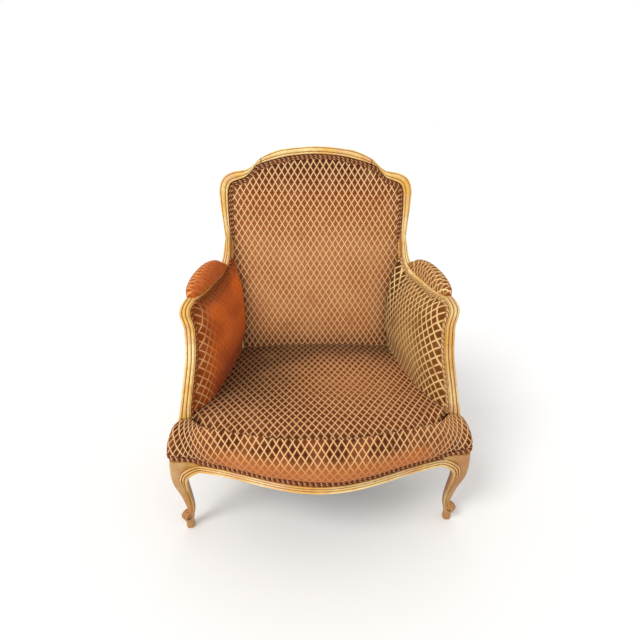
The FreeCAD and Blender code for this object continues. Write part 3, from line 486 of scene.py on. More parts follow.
OUTER_EAR = ear([(1, 0), (0, 19), (2, 37), (9, 54), (21, 66), (38, 74), (57, 77.5), (75, 80), (91, 88),
                 (106, 100.5), (123, 113.5)], [(112, 12), (76, 5.5), (38, 1.5), (0, 0)])
INNER_EAR = ear([(25, 0), (25, 14), (26.5, 26), (30, 37), (37, 45), (48, 50), (60, 54), (74, 59.5), (84, 68),
                 (97, 81), (113, 94)], [(107, 33), (74, 26.5), (37, 22.5), (0, 21)])
STILE_Z = [330, 480, 600, 650, 690, 730, 770, SHOULDER]
STILE_OUT = [260, 262, 263, 264, 265.5, 268.5, 272.5, EAR - 1]
STILE_WIDE = [40, 32, 24, 17, 16, 18, 21, 24]


def both(half):
    return [(-x, z) for x, z in half] + [(x, z) for x, z in reversed(half[:-1])]


def crest():
    outer = spline(on_back(*np.array(both(OUTER_EAR)).T))
    inner = spline(on_back(*np.array(both(INNER_EAR)).T))

    def step(t):
        x = np.abs(outer(t)[:, 0])
        return 1.6 * smooth(158 - x, 0, 6)

    sheet = moulding(outer, inner, FRONT, BACK_DEPTH, 420, proud=step)
    # Painted shade in the notch at each joint of the crest.
    sheet.data["shade"] = np.exp(-((np.abs(sheet.rows[..., :1]) - 156.0) / 2.0) ** 2)
    return sheet


def stile_curves():
    outer = spline(on_back(-np.array(STILE_OUT, float), np.array(STILE_Z, float)))
    inner = spline(on_back(-np.array(STILE_OUT, float) + STILE_WIDE, np.array(STILE_Z, float)))
    return outer, inner


def rounded_section(half_x, half_y, power, count=36):
    a = np.linspace(0, 2 * math.pi, count, endpoint=False)
    c, s = np.cos(a), np.sin(a)
    across = half_x * np.sign(c) * np.abs(c) ** (2 / power)
    return np.stack([across, half_y * np.sign(s) * np.abs(s) ** (2 / power)], -1)


def level(x, y, z, wide, deep, power, count=36):
    """A rounded section lying at height z."""
    ring = rounded_section(wide, deep, power, count)
    return np.column_stack([x + ring[:, 0], y + ring[:, 1], np.full(len(ring), z)])


def rear_leg():
    """Square, raked and slightly splayed, left-hand side."""
    path = spline([(350, 0, 20, 18), (330, 0, 20, 18), (219, .05, 20, 19), (150, .33, 18, 18),
                   (70, .75, 15.5, 15.5), (0, 1, 15, 15)])
    t = np.linspace(0, path.last, 40)
    rows = []
    for z, share, wide, deep in path(t):
        top_y = back_y(FRAME_TOP) + 18
        x = -(260 - 20) - 6 * share
        y = top_y + (268 - top_y) * share + max(0.0, z - FRAME_TOP) * math.tan(RAKE)
        rows.append(level(x, y, max(z, 0.0), wide, deep, 7.0))
    return carved(rows, 0.25).flipped()


# Arms, right-hand side: outer edge of the support and of the rail.
ARM_WIDE = 26.0
SUPPORT_OUT = [
    (355, -151, 330), (347.5, -150, 362), (341, -141, 400), (336, -130, 435), (331, -119, 470),
    (328, -110, 505), (327, -103, 540), (329, -97, 566), (336.5, -89, 589), (336, -79, 605),
    (330, -67, 616.5)]
RAIL_OUT = [
    (327, -47, 620), (328, -10, 620), (326.5, 25, 620), (321, 60, 620), (313, 95, 620), (303, 125, 620),
    (292, 152, 622), (281, 172, 630), (274, 185, 645), (269, 195, 666), (266.5, 205, 690), (265, 216, 714),
    (264.5, 226, 736)]
RAIL_IN = [
    (300, -50, 620), (289, -14, 620), (282, 22, 620), (277, 58, 620), (272, 90, 620), (268, 118, 620),
    (264, 143, 622), (259, 162, 629), (254, 175, 641), (251, 187, 662), (251, 198, 688), (254, 210, 713),
    (257, 221, 736)]
ARM_OUT = SUPPORT_OUT + RAIL_OUT
ARM_IN = [(x - ARM_WIDE - 0.25 * max(0.0, 370 - z), y - 1, z) for x, y, z in SUPPORT_OUT] + RAIL_IN
KNUCKLE = len(SUPPORT_OUT) - 1
ARM_END = len(ARM_OUT) - 1


def direction(curve, t, step):
    """The way a curve runs at t."""
    return curve(np.clip(t + step, 0, curve.last)) - curve(np.clip(t - step, 0, curve.last))


def arm_curves():
    return spline(mirrored(ARM_OUT)), spline(mirrored(ARM_IN))


def arm_face(t):
    """Outward direction of the arm's moulded face, left-hand side."""
    outer, inner = arm_curves()
    return unit(np.cross(inner(t) - outer(t), direction(outer, np.asarray(t, float), 0.02)))


def apron_y(x):
    x = np.minimum(np.abs(x), APRON_SPAN)
    return APRON_Y - APRON_BOW * (0.5 + 0.5 * np.cos(math.pi * x / APRON_SPAN))


# Front leg, left-hand side: height, x and y of its middle, half width.
LEG_LEVELS = [
    (8, -353, -163, 9.5), (24, -353, -163, 9.5), (44, -349, -163, 10), (64, -345.8, -163, 9.5),
    (86, -347.9, -163, 11), (108, -350.2, -166, 12), (128, -352.6, -170, 13.2), (150, -355.5, -175, 15),
    (176, -357.5, -180, 17.5), (204, -355.5, -182, 21), (232, -350.6, -182, 25), (KNEE_TOP, -347, -180, 27)]


def front_leg():
    path = spline(LEG_LEVELS)
    t = np.linspace(0, path.last, 90)
    rows = [level(x, y, z, half, half, 4.0, 48) for z, x, y, half in path(t)]
    # Painted shade: the leg's inner and rear side darker.
    wear_and_shade = 0.1 + 0.45 * smooth(rounded_section(1.0, 1.0, 4.0, 48).sum(axis=1), 0.0, 1.3)
    body = carved(rows, wear_and_shade[None, :, None])
    scrolls = [foot_scroll(1.0, 0.0), foot_scroll(0.8, 1.5)]
    return [body, knee_neck(), leg_post(), foot_block(), leg_strip()] + scrolls


LEG_REEDS = 4


def leg_post():
    """The square top of the leg, which carries the arm's support."""
    levels = ((224.0, -166, 23.5, 25.5), (268.0, -162, 22.0, 22.0), (318.0, -150, 13.0, 13.0))
    return carved([level(-326, y, z, half_x, half_y, 9.0) for z, y, half_x, half_y in levels], 0.3)


def knee_neck():
    """The knee's top, drawn in behind the welt, and the wood that leads to the apron."""
    rows = []
    for x, low, high, front, rear in ((-302, 219, 241, -203, -165), (-316, 214, 250, -205, -162),
                                      (-330, 201, 254, -205, -160), (-342, 183, 254, -204, -160)):
        ring = rounded_section((rear - front) / 2, (high - low) / 2, 5.0)
        rows.append(np.column_stack([np.full(len(ring), x), (front + rear) / 2 + ring[:, 0],
                                     (low + high) / 2 + ring[:, 1]]))
    path = spline(np.array(rows).reshape(len(rows), -1))
    return carved(path(np.linspace(0, path.last, 16)).reshape(16, -1, 3), 0.1)


def foot_block():
    levels = ((0.0, 9.0), (0.4, 10.0), (3.0, 10.8), (12.0, 10.8), (19.0, 9.6), (26.0, 9.0))
    return carved([level(-353, -164, z, r, r, 2.4) for z, r in levels], 0.35)


STRIP_OUT = [
    (-280, 0, 239.5), (-302, 0, 240), (-318, -209, 239), (-333, -211, 232), (-345, -211, 220),
    (-351, -208, 200), (-351, -201.5, 178), (-348.5, -194, 155), (-346, -187.5, 133), (-345, -181, 110),
    (-345.5, -176.5, 88), (-344.5, -174.5, 68), (-346, -174, 54)]
STRIP_IN = [
    (-280, 0, 219), (-302, 0, 218.5), (-313, -208, 216), (-323, -208, 210), (-331, -207, 200),
    (-336, -203, 187), (-338, -198.5, 170), (-339, -191.5, 150), (-338.5, -184.5, 130),
    (-337.5, -178.5, 108), (-336.5, -174.5, 87), (-336, -173, 68), (-338, -173, 54)]


def strip_points(points):
    """The moulding's edge, laid on the apron's lip where no depth is given."""
    return [(x, y if y else apron_y(x) - LIP_PROUD, z) for x, y, z in points]


def leg_strip():
    """Three reeds that run from the apron round the knee and down to the scroll."""
    outer = spline(strip_points(STRIP_OUT))
    inner = spline(strip_points(STRIP_IN))
    return moulding(outer, inner, np.array([-0.25, -1.0, 0.0]), 7.0, 150, STRIP_PROFILE)


def apron_strip():
    x = np.linspace(-281, 281, 40)
    outer, inner = (spline([(a, apron_y(a) - LIP_PROUD, z) for a in x]) for z in (239.5, 219.0))

    def face(t):
        return unit(np.cross(direction(outer, t, 0.05), UP))

    return moulding(outer, inner, face, 8.0, 200, STRIP_PROFILE)


def foot_scroll(share, spread):
    """A volute: a tapering rolled ridge seen on each side of the foot, with its rim between.
    share draws it in round its middle, spread widens it towards its eye."""
    k = math.sqrt(0.5)
    out = np.array([-k, -k, 0.0])
    across = np.array([k, -k, 0.0])
    centre = np.array([-357.0, -169.0, 40.0])
    turns = 1.35
    a = np.linspace(0, turns * 2 * math.pi, 90)
    radius = 17.0 * np.exp(-0.17 * a)
    start = math.radians(115)
    normal = np.cos(start - a)[:, None] * out + np.sin(start - a)[:, None] * UP
    spot = centre + share * radius[:, None] * normal
    half = 10.5 + (spread - 1.2) * a / a[-1]
    thick = 3.2
    rim = ((-1, -thick, .6), (-1, -1, .3), (-0.9, .4, 0), (-0.7, 1.0, 0), (-0.5, .4, .5), (-0.36, -0.4, 1),
           (-0.2, .6, .3))
    rim = rim + ((0, 1.2, 0),) + tuple((-w, h, g) for w, h, g in reversed(rim))
    rows = [spot + across * (w * half)[:, None] + normal * h for w, h, _ in rim]
    return carved(np.stack(rows, 1), np.array([g for _, _, g in rim])[None, :, None])


# Covers.
def patch(bottom, top, left, right, rows, columns):
    """A sheet between four edges, each a function of 0 to 1."""
    u = np.linspace(0, 1, columns)
    v = np.linspace(0, 1, rows)
    b, t = bottom(u), top(u)
    l, r = left(v), right(v)
    U = u[None, :, None]
    W = v[:, None, None]
    sheet = (1 - W) * b[None] + W * t[None] + (1 - U) * l[:, None] + U * r[:, None]
    corners = (1 - U) * (1 - W) * b[0] + U * (1 - W) * b[-1] + (1 - U) * W * t[0] + U * W * t[-1]
    return sheet - corners


def edge_of(points):
    """A curve run evenly from 0 to 1."""
    curve = spline(points)
    t = np.linspace(0, curve.last, 400)
    run = lengths(curve(t))
    return lambda u: curve(np.interp(np.asarray(u) * run[-1], run, t))


def normals(rows):
    du = np.gradient(rows, axis=1)
    dv = np.gradient(rows, axis=0)
    return unit(np.cross(du, dv))


def border(rows):
    """How far each point lies from a sheet's left, right, bottom and top edge, 0 to 1."""
    v, u = np.meshgrid(*(np.linspace(0, 1, count) for count in rows.shape[:2]), indexing="ij")
    return u, 1 - u, v, 1 - v


def read_points(mesh):
    got = np.empty(len(mesh.vertices) * 3)
    mesh.vertices.foreach_get("co", got)
    return got.reshape(-1, 3)


def inflate(made, free, pressure, frames, cap):
    """Let the cloth settle under its stuffing's pressure, held along its edges."""
    group = made.vertex_groups.new(name="held")
    group.add(np.where(free.ravel() < 0.02)[0].tolist(), 1.0, "REPLACE")
    start = read_points(made.data)
    cloth = made.modifiers.new("cloth", "CLOTH")
    settings = cloth.settings
    chosen = {"quality": 6, "mass": 0.35, "tension_stiffness": 28.0, "compression_stiffness": 28.0,
              "shear_stiffness": 12.0, "bending_stiffness": 2.0, "use_pressure": True,
              "uniform_pressure_force": pressure, "vertex_group_mass": "held"}
    for key, value in chosen.items():
        setattr(settings, key, value)
    settings.effector_weights.gravity = 0.0
    scene = bpy.context.scene
    cloth.point_cache.frame_start = 1
    cloth.point_cache.frame_end = frames
    for number in range(1, frames + 1):
        scene.frame_set(number)
    depsgraph = bpy.context.evaluated_depsgraph_get()
    end = read_points(made.evaluated_get(depsgraph).to_mesh())
    made.modifiers.remove(cloth)
    scene.frame_set(1)
    move = end - start
    far = np.linalg.norm(move, axis=1, keepdims=True)
    move *= np.minimum(1.0, cap / 1000 / np.maximum(far, 1e-9))
    made.data.vertices.foreach_set("co", (start + move).ravel())
    made.data.update()
    made.data.shade_smooth()


def cover(name, sheet, cloth, node, angle=180, settle=None):
    """Make a padded piece; settle holds what inflate takes."""
    made = joined(name, [sheet], angle)
    if settle:
        inflate(made, *settle)
    piece(made, cloth, "lattice_fabric", node)


def colours(rows, parts):
    """Blend colours by weights: parts is a list of (weight, code), the first is the base."""
    shape = rows.shape[:2]
    mixed = np.broadcast_to(np.array(rgb(parts[0][1])), shape + (4,)).copy()
    for weight, code in parts[1:]:
        w = np.broadcast_to(weight, shape)[..., None]
        mixed = mixed * (1 - w) + np.array(rgb(code)) * w
    return mixed


def waves(rows, size, seed):
    """Slow uneven tone over a surface, 0 to 1."""
    caster = np.random.default_rng(seed)
    total = np.zeros(rows.shape[:2])
    for _ in range(7):
        k = caster.normal(0, 1, 3) / size
        total += np.sin(rows @ k * 2 * math.pi + caster.uniform(0, 6.3))
    return 0.5 + 0.5 * np.tanh(total / 3)


def back_patch(right, corner, foot, proud, rows, columns):
    """A sheet in the back's outline, given by its right half; foot holds x along its lower edge."""
    side = right[:corner + 1]
    left, other = (edge_of(on_back(hand * side[:, 0], side[:, 1], proud)) for hand in (-1, 1))
    top = edge_of(on_back(*np.array(both([tuple(p) for p in right[corner:]])).T, proud))
    base = edge_of(on_back(foot, np.full(len(foot), right[0, 1]), proud))
    return patch(base, top, left, other, rows, columns)


def inside_back():
    side = [(220.0, BACK_LOW)] + [(o - w, z) for o, w, z in zip(STILE_OUT[1:], STILE_WIDE[1:], STILE_Z[1:])]
    outline = side[:-1] + INNER_EAR
    inset = 1.0
    right = np.array([(x - inset, z - (inset if z > SHOULDER else 0)) for x, z in outline])
    rows = back_patch(right, len(side) + 2, np.array([-219.0, -80, 80, 219]), -4.0, 110, 96)
    l, r, b, t = border(rows)
    near = np.minimum(np.minimum(l, r) * 470, np.minimum(b * 570, t * 560))
    crown = 5.0 * smooth(near, 3, 20) + 9.0 * smooth(near, 10, 90)
    crown = crown + 7.0 * (1 - (2 * l - 1) ** 2) * (1 - (2 * t - 1) ** 2)
    dents = 0.9 * (waves(rows, 160.0, 3) - 0.5) * smooth(near, 20, 80)
    rows = rows + FRONT * (crown + dents)[..., None]
    high = (rows[..., 2] - BACK_LOW) / (CREST - BACK_LOW)
    wear_and_sheen = waves(rows, 210.0, 11)
    # Painted light on one cloth: darker towards the top and paler sheen patches lower down, where the pile
    # catches the light, and painted shade along the foot by the seat and beside the stiles.
    tint = colours(rows, [
        (1, "#a86434"), (smooth(high, 0.52, 0.84), "#8a4214"),
        (smooth(high, 0.72, 0.97), "#3a1101"),
        (0.8 * wear_and_sheen * smooth(0.74 - high, 0, 0.25), "#c08250"),
        (0.9 * smooth(0.17 - high, 0, 0.12), "#66300f"),
        (0.5 * smooth(0.12 - np.minimum(l, r), 0, 0.12), "#5a2206")])
    sheet = covering(rows, tint, rows[..., 0], rows[..., 2] / math.cos(RAKE))
    cover("inside_back_cloth", sheet, BACK_CLOTH, "inside_back_pad", settle=(near / 20, 3.0, 16, 3.0))


def well_half(y):
    t = np.clip((np.asarray(y, float) + 160.0) / (DECK_REAR + 160.0), 0, None)
    return 300.0 + (229.0 - 300.0) * t


def bow(x):
    """How far the front line of the flat seat swings forward."""
    return 1.0 - np.minimum(np.abs(x) / 262.0, 1.0) ** 2.5


def deck():
    v = np.linspace(0, 1, 96)[:, None]
    u = np.linspace(-1, 1, 116)[None]
    y = DECK_REAR + 4 - (DECK_REAR + 4 - DECK_FRONT + 4) * (1 - v) + 0 * u
    half = np.minimum(well_half(y), 300.0) + 7 + 12 * smooth(-y, 60, 150)
    x = half * u
    y = y + (62.0 * smooth(np.abs(x), 258, 322) - SWING * bow(x)) * (1 - v) ** 2
    z = DECK_EDGE + (DECK_CROWN - DECK_EDGE) * (1 - (x / half) ** 2) + 15.0 * smooth(y, -60, 165)
    rows = np.stack([x, y, z], -1)
    l, r, b, t = border(rows)
    near = np.minimum(l, r) * 560
    sit = (waves(rows, 260.0, 5) - 0.5) * 3.0 * smooth(near, 10, 90) * smooth(b, 0, 0.2) * smooth(t, 0, 0.15)
    creases = 1.1 * np.sin(x / 17.0 + 2.2 * waves(rows, 140.0, 9)) * np.exp(-((v - 0.07) / 0.06) ** 2)
    rows[..., 2] += sit + creases * smooth(near, 30, 120) - 4.0 * (1 - smooth(near, 0, 26))
    wear_and_sheen = waves(rows, 190.0, 23)
    # Painted shade: darker on the left and rear of the seat, under the arm and back, and in the crease at the
    # front seam; it dulls the lattice lines too.
    seam = np.exp(-(((1 - v) - 1.0) / 0.035) ** 2) * np.ones(x.shape)
    seat_shade = np.clip(smooth(-x, -60, 200) * smooth(y, -230, -20) + smooth(y, 30, 150) + 0.7 * seam, 0, 1)
    wear_and_shade = np.exp(-((x - 90) / 130) ** 2 - ((y + 50) / 100) ** 2)
    tint = colours(rows, [(1, "#5e280e"), (0.4 * wear_and_sheen, "#7a4022"), (seat_shade, "#240702"), (0.8 * wear_and_shade, "#96592f")])
    lines = 1.0 - 0.62 * seat_shade - 0.2 * wear_and_shade
    rows[..., 2] -= 16.0 * smooth(np.abs(x), 205, 275) * smooth(-y, 150, 205) + 4.0 * seam
    free = np.minimum(np.minimum(near / 20, b * 8), t * 10)
    sheet = covering(rows, tint, x, y, lines)
    cover("seat_deck_cloth", sheet, SEAT_CLOTH, "seat_deck", settle=(free, 2.0, 14, 2.5))


# The roll's sections, middle and corner, as shares: along the flat, out to its nose, and down.
ROLL_SECTION = [
    (0.0, 0.0, 0.03), (0.16, 0.05, -0.025), (0.4, 0.22, -0.035), (0.62, 0.46, 0.03), (0.8, 0.7, 0.13),
    (0.92, 0.89, 0.28), (1.0, 1.0, 0.45), (1.0, 0.94, 0.63), (1.0, 0.74, 0.8), (1.0, 0.42, 0.92),
    (1.0, 0.1, 1.0)]
CORNER_SECTION = [
    (0.0, 0.0, 0.0), (0.2, 0.3, 0.05), (0.4, 0.7, 0.16), (0.58, 1.0, 0.32), (0.75, 1.0, 0.52),
    (0.89, 0.9, 0.72), (0.97, 0.6, 0.88), (1.0, 0.3, 0.96), (0.99, 0.1, 1.0), (0.94, 0.0, 1.0),
    (0.88, 0.0, 1.0)]


def front_roll():
    """The seat's front edge, rolled over the rail and round both corners."""
    level_part = [(x, 0, 0) for x in (0, 60, 120, 180)]
    foot = level_part + [(240, 0, 0), (285, 0, 1), (320, -200, 9), (346, -199, 13), (366, -196, 15),
                         (377, -185, 16), (379, -166, 16), (376, -148, 16)]
    head = level_part + [(235, 0, -1), (270, 7, -3), (294, 24, -5), (310, 42, -7), (324, 54, -9),
                         (337, 58, -11), (346, 60, -15), (352, 64, -20)]
    foot_z = APRON_LOW + LIP + WELT + 1.0
    base = [(x, y if y else float(apron_y(x)) - 1.0, foot_z + rise) for x, y, rise in foot]
    top = [(x, DECK_FRONT + back - SWING * float(bow(x)), DECK_CROWN - 8 * (x / 300) ** 2 + drop)
           for x, back, drop in head]
    base = [(-x, y, z) for x, y, z in reversed(base[1:])] + base
    top = [(-x, y, z) for x, y, z in reversed(top[1:])] + top
    low, high = spline(base), spline(top)
    t = even(low, 240)
    a, b = high(t), low(t)
    out = unit(np.cross(np.gradient(b, axis=0) * np.array([1, 1, 0]), UP))
    side = smooth(np.abs(b[:, :1]), 250, 372)
    nose = 34 * (1 - side) + 3 * side
    drop = a[:, 2:] - b[:, 2:]
    flat = (b - a) * np.array([1, 1, 0])
    sections = [spline(ROLL_SECTION), spline(CORNER_SECTION)]
    rows = []
    for full, corner in zip(*(section(even(section, 52)) for section in sections)):
        p, q, r = (full * (1 - side) + corner * side).T[..., None]
        rows.append(a + flat * p + out * nose * q - UP * (drop * r))
    rows = np.stack(rows, 1)
    along = lengths(rows[:, 26])
    along -= along[len(along) // 2]
    down = np.stack([lengths(row) for row in rows])
    blend = smooth(np.abs(rows[..., 0]), 270, 350)
    u = rows[..., 0] * (1 - blend) + along[:, None] * blend
    v = rows[:, :1, 1] - down
    nrm = normals(rows)
    taper = np.sin(np.linspace(0.25, math.pi, rows.shape[1])) ** 0.5
    bumps = (waves(rows, 110.0, 31) - 0.5) * 3.4 * taper
    pull = 1.3 * np.sin(along[:, None] / 31.0 + 0.7 * waves(rows, 90.0, 35))
    pull = pull * smooth(np.linspace(0, 1, 52), 0.55, 0.95)
    outward = np.sign(np.sum(nrm[120, 26] * out[120]))
    rows = rows + nrm * ((bumps + pull * taper) * outward)[..., None]
    wear_and_sheen = waves(rows, 120.0, 41)
    fall = np.linspace(0, 1, rows.shape[1])[None]
    right = smooth(rows[..., 0], 120, 330)
    middle = smooth(330 - np.abs(rows[..., 0]), 0, 120)
    tint = colours(rows, [
        (1, "#4c1a04"), (0.55 * smooth(wear_and_sheen, 0.55, 0.9), "#96522a"),
        (0.75 * right * smooth(0.7 - fall, 0, 0.4), "#9c6238"),
        (0.95 * middle * smooth(fall, 0.44, 0.64), "#bb672e")])
    lines = 1.0 - 0.7 * middle * smooth(fall, 0.48, 0.66)
    sheet = covering(rows, tint, u, v, lines, True).flipped()
    cover("seat_front_roll_cloth", sheet, SEAT_CLOTH, "seat_front_roll", 75)


def arm_panel(side):
    """Inside of an arm, right-hand numbers; side is -1 for the left one."""
    support = np.array(ARM_IN[:KNUCKLE + 1])
    front = [(x - 1.5, y + 15, z) for x, y, z in support if z < 600]
    front[0] = (front[0][0] + 1.0, front[0][1], 337)
    rail = ARM_IN[KNUCKLE + 1:KNUCKLE + 10]
    top = [(front[-1][0] - 1.0, front[-1][1] + 6, 599)] + [(x - 1.5, y + 2, z - 14) for x, y, z in rail]
    top.append((246.5, 197, 652))
    seam = [(229, 340), (226, 401), (218, 430), (215, 469), (218, 521), (223, 572), (233, 610), (246.5, 652)]
    rear = [(x, back_y(z) - 9 - 8 * smooth(z, 340, 470), z) for x, z in seam]
    rear[-1] = top[-1]
    front[-1] = top[0]
    foot = [(float(well_half(y)) + 10 * float(smooth(-y, 60, 150)), y, 340)
            for y in np.linspace(front[0][1], rear[0][1], 8)]
    foot[0] = front[0]
    foot[-1] = rear[0]
    rows = patch(edge_of(foot), edge_of(top), edge_of(front), edge_of(rear), 80, 90)
    l, r, b, t = border(rows)
    near = np.minimum(np.minimum(l * 300, t * 260), np.minimum(r * 300 + 6, b * 260 + 4))
    belly = 15.0 * np.sin(math.pi * l) ** 0.8 * np.sin(math.pi * np.clip(b, 0, 1)) ** 0.7
    belly = belly + 5.0 * smooth(near, 0, 16)
    inward = np.array([-1.0, 0.0, 0.15])
    dents = 1.2 * (waves(rows, 120.0, 51 + side) - 0.5) * smooth(near, 10, 60)
    rows = rows + inward * (belly + dents)[..., None]
    u = rows[..., 1]
    v = rows[..., 2]
    wear_and_sheen = waves(rows, 150.0, 61 + side)
    bare = np.exp(-((l - 0.42) / 0.22) ** 2 - ((b - 0.38) / 0.25) ** 2)
    # Painted light: the left panel is tinted as the shaded side of the fabric, the right as its lit side, and
    # both darken towards their edges and corners as painted shade.
    if side < 0:
        tint = colours(rows, [
            (1, "#dc6412"), (0.7 * smooth(wear_and_sheen, 0.5, 0.9), "#b8480a"),
            (0.8 * smooth(l, 0.0, 0.35) * smooth(0.6 - b, 0, 0.5), "#9c380a"),
            (0.8 * smooth(0.25 - l, 0, 0.25), "#84380e"),
            (0.8 * smooth(0.13 - t, 0, 0.12), "#7a300a")])
        lines = 0.95 * smooth(0.3 - l - 0.15 * b, 0.0, 0.2) + 0.07
    else:
        tint = colours(rows, [
            (1, "#7e501e"), (smooth(0.35 - l, 0, 0.3), "#703c0c"),
            (0.8 * bare, "#a88446"),
            (0.8 * smooth(0.5 - r, 0, 0.4) * smooth(b, 0.2, 0.7), "#38200a"),
            (0.5 * smooth(0.25 - r, 0, 0.25), "#2e1a08")])
        lines = 1.0 - 0.3 * bare
    sheet = covering(rows, tint, u * 0.95, v - u * 0.1, lines)
    sheet = sheet.mirror() if side < 0 else sheet.flipped()
    name = HANDS[side]
    cover("inside_arm_cloth_" + name, sheet, ARM_CLOTH[side], "inside_arm_pad_" + name,
          settle=(near[:, ::-1] / 20, 2.5, 14, 2.5))


def manchette(side):
    """Stuffed pad on the arm, full in the middle and drawn down at both ends."""
    outer, inner = arm_curves()
    first, last = KNUCKLE + 0.9, KNUCKLE + 8.5
    t = 0.5 - 0.5 * np.cos(math.pi * np.linspace(0, 1, 110))
    place = first + (last - first) * t
    a, b = outer(place), inner(place)
    across = unit(b - a)
    ledge = -2.5 if side < 0 else 8.0
    width = np.linalg.norm(b - a, axis=1) - ledge * np.minimum(1.0, 0.2 + 1.4 * t)
    face = arm_face(place)
    width = width * (0.72 + 0.28 * smooth(t, 0, 0.1))
    swell = np.sin(math.pi * (0.002 + 0.985 * t)) ** 0.42
    high = (36.0 + 8.0 * smooth(t, 0.1, 0.7)) * swell
    lean = unit(face + across * (-0.12))
    rows = []
    for q in np.linspace(0, math.pi, 34):
        c, s = -math.cos(q), math.sin(q)
        reach = 0.5 * width * (1 + c * (1.0 + 0.06 * s)) + 4.5 * swell * min(c, 0.0)
        reach = reach + 0.14 * ARM_WIDE * (1 - smooth(t, 0, 0.1))
        rows.append(a + across * reach[:, None] + lean * (high * (s ** 0.66) + 0.5)[:, None])
    rows = np.stack(rows, 1)
    spine = lengths(rows[:, 17])
    girth = np.stack([lengths(row) for row in rows])
    around = np.linspace(0, 1, rows.shape[1])[None]
    wear_and_sheen = waves(rows, 60.0, 90 + side)
    # The left pad is tinted as the shaded side of the fabric and the right as its lit side.
    if side < 0:
        tint = colours(rows, [
            (1, "#c85a14"), (0.8 * smooth(0.5 - around, 0, 0.4), "#a8501c"),
            (0.4 * wear_and_sheen, "#9c420e")])
        lines = 0.18 + 0.9 * smooth(0.66 - around, 0, 0.3)
    else:
        tint = colours(rows, [
            (1, "#8c4414"), (0.6 * smooth(around, 0.4, 0.9), "#94602a"), (0.4 * wear_and_sheen, "#783a10")])
        lines = 1.0
    sheet = covering(rows, tint, spine[:, None] * 1.05 + 0 * girth, girth * 0.85, lines, True)
    sheet = sheet.mirror() if side > 0 else sheet
    cover("manchette_cloth_" + HANDS[side], sheet, ARM_CLOTH[side], "manchette_" + HANDS[side], 75)


def stile_side():
    """Outer edge of the stile, from the foot of the outside cover up."""
    return [(x, max(z, BACK_LOW)) for x, z in zip(STILE_OUT[:-1], STILE_Z[:-1])]


def outside_back():
    side = stile_side()
    outline = shrunk(side + OUTER_EAR, COVER_INSET)
    ends = outline[0][0]
    right = np.array([(ends, 333.0)] + outline)
    rows = back_patch(right, len(side) + 4, np.linspace(-ends, ends, 4), -BACK_DEPTH - 0.5, 80, 70)
    l, r, b, t = border(rows)
    near = np.minimum(np.minimum(l, r) * 480, np.minimum(b, t) * 560)
    swell = 2.6 * smooth(near, 0, 60) + 0.8 * waves(rows, 180.0, 71) * smooth(near, 5, 50)
    rows = rows - FRONT * swell[..., None]
    tint = colours(rows, [(1, "#9a5a34"), (0.6 * waves(rows, 200.0, 73), "#7c4020")])
    sheet = covering(rows, tint, -rows[..., 0], rows[..., 2]).flipped()
    cover("outside_back_cloth", sheet, BACK_CLOTH, "outside_back_cover")


def seat_side_x(y):
    t = (np.asarray(y, float) - FOOT_Y) / (BACK_Y - FOOT_Y)
    return 350 + (260 - 350) * t + 8 * np.sin(math.pi * np.clip(t, 0, 1))


def outside_arm(side):
    ys = np.linspace(-118, 166, 9)
    arm = np.array(ARM_OUT)
    low = APRON_LOW + LIP + 0.5
    foot = [(float(seat_side_x(y)) + 2.2, y, low) for y in ys]
    front = [foot[0], (foot[0][0], -118, 320)]
    front += [(x - 3, y + 31, z) for x, y, z in SUPPORT_OUT[2:8]] + [(328, -56, 591)]
    rear_x = np.interp(ys, arm[KNUCKLE:, 1], arm[KNUCKLE:, 0])
    head = [(328, -56, 591)] + [(float(x) - 3, y, 591) for x, y in zip(rear_x, ys) if y > -30]
    top_end = head[-1]
    rear = [foot[-1], (float(seat_side_x(166)) + 2.2, 168, 330), (265, 189, 460), top_end]
    head[-1] = rear[-1] = (266, 209, 592)
    rows = patch(edge_of(foot), edge_of(head), edge_of(front), edge_of(rear), 60, 60)
    l, r, b, t = border(rows)
    near = np.minimum(np.minimum(l, r) * 290, np.minimum(b, t) * 350)
    rows = rows + np.array([1.0, 0, 0]) * (1.6 * smooth(near, 0, 40))[..., None]
    tint = colours(rows, [(1, "#94562e"), (0.6 * waves(rows, 160.0, 83), "#7c4422")])
    sheet = covering(rows, tint, rows[..., 1], rows[..., 2])
    sheet = sheet.mirror() if side < 0 else sheet
    cover("outside_arm_cloth_" + HANDS[side], sheet, SEAT_CLOTH, "outside_arm_cover_" + HANDS[side])


# Welts.
def double_welt(path, out, radius=2.9, step=2.2):
    """Two cords side by side. path is points, out the direction away from the wood at each."""
    curve = spline(path)
    t = even(curve, max(12, int(lengths(curve(np.linspace(0, curve.last, 400)))[-1] / step)))
    p = curve(t)
    tangent = unit(np.gradient(p, axis=0))
    facing = out(t, p)
    facing = unit(facing - tangent * np.sum(facing * tangent, axis=1, keepdims=True))
    across = np.cross(tangent, facing)
    run = lengths(p)
    angle = np.linspace(0, 2 * math.pi, 13)[:-1]
    sheets = []
    for lobe in (-1, 1):
        rows = [p + across * radius * (lobe + 1.04 * math.cos(q)) + facing * radius * (0.95 + math.sin(q))
                for q in angle]
        weave = [np.column_stack([run + 6.0 * lobe, np.full(len(run), radius * q), run * 0]) for q in angle]
        sheets.append(Sheet(np.stack(rows, 1), True, True, weave=np.stack(weave, 1) / 1000))
    return sheets


def back_welt_points():
    side = [(o - w, z) for o, w, z in zip(STILE_OUT[4:], STILE_WIDE[4:], STILE_Z[4:])]
    half = shrunk(side[:-1] + INNER_EAR, WELT / 2 + 0.6, EAR - 25.0, CREST - 21.0)
    return on_back(*np.array(both(half)).T, -3.6)


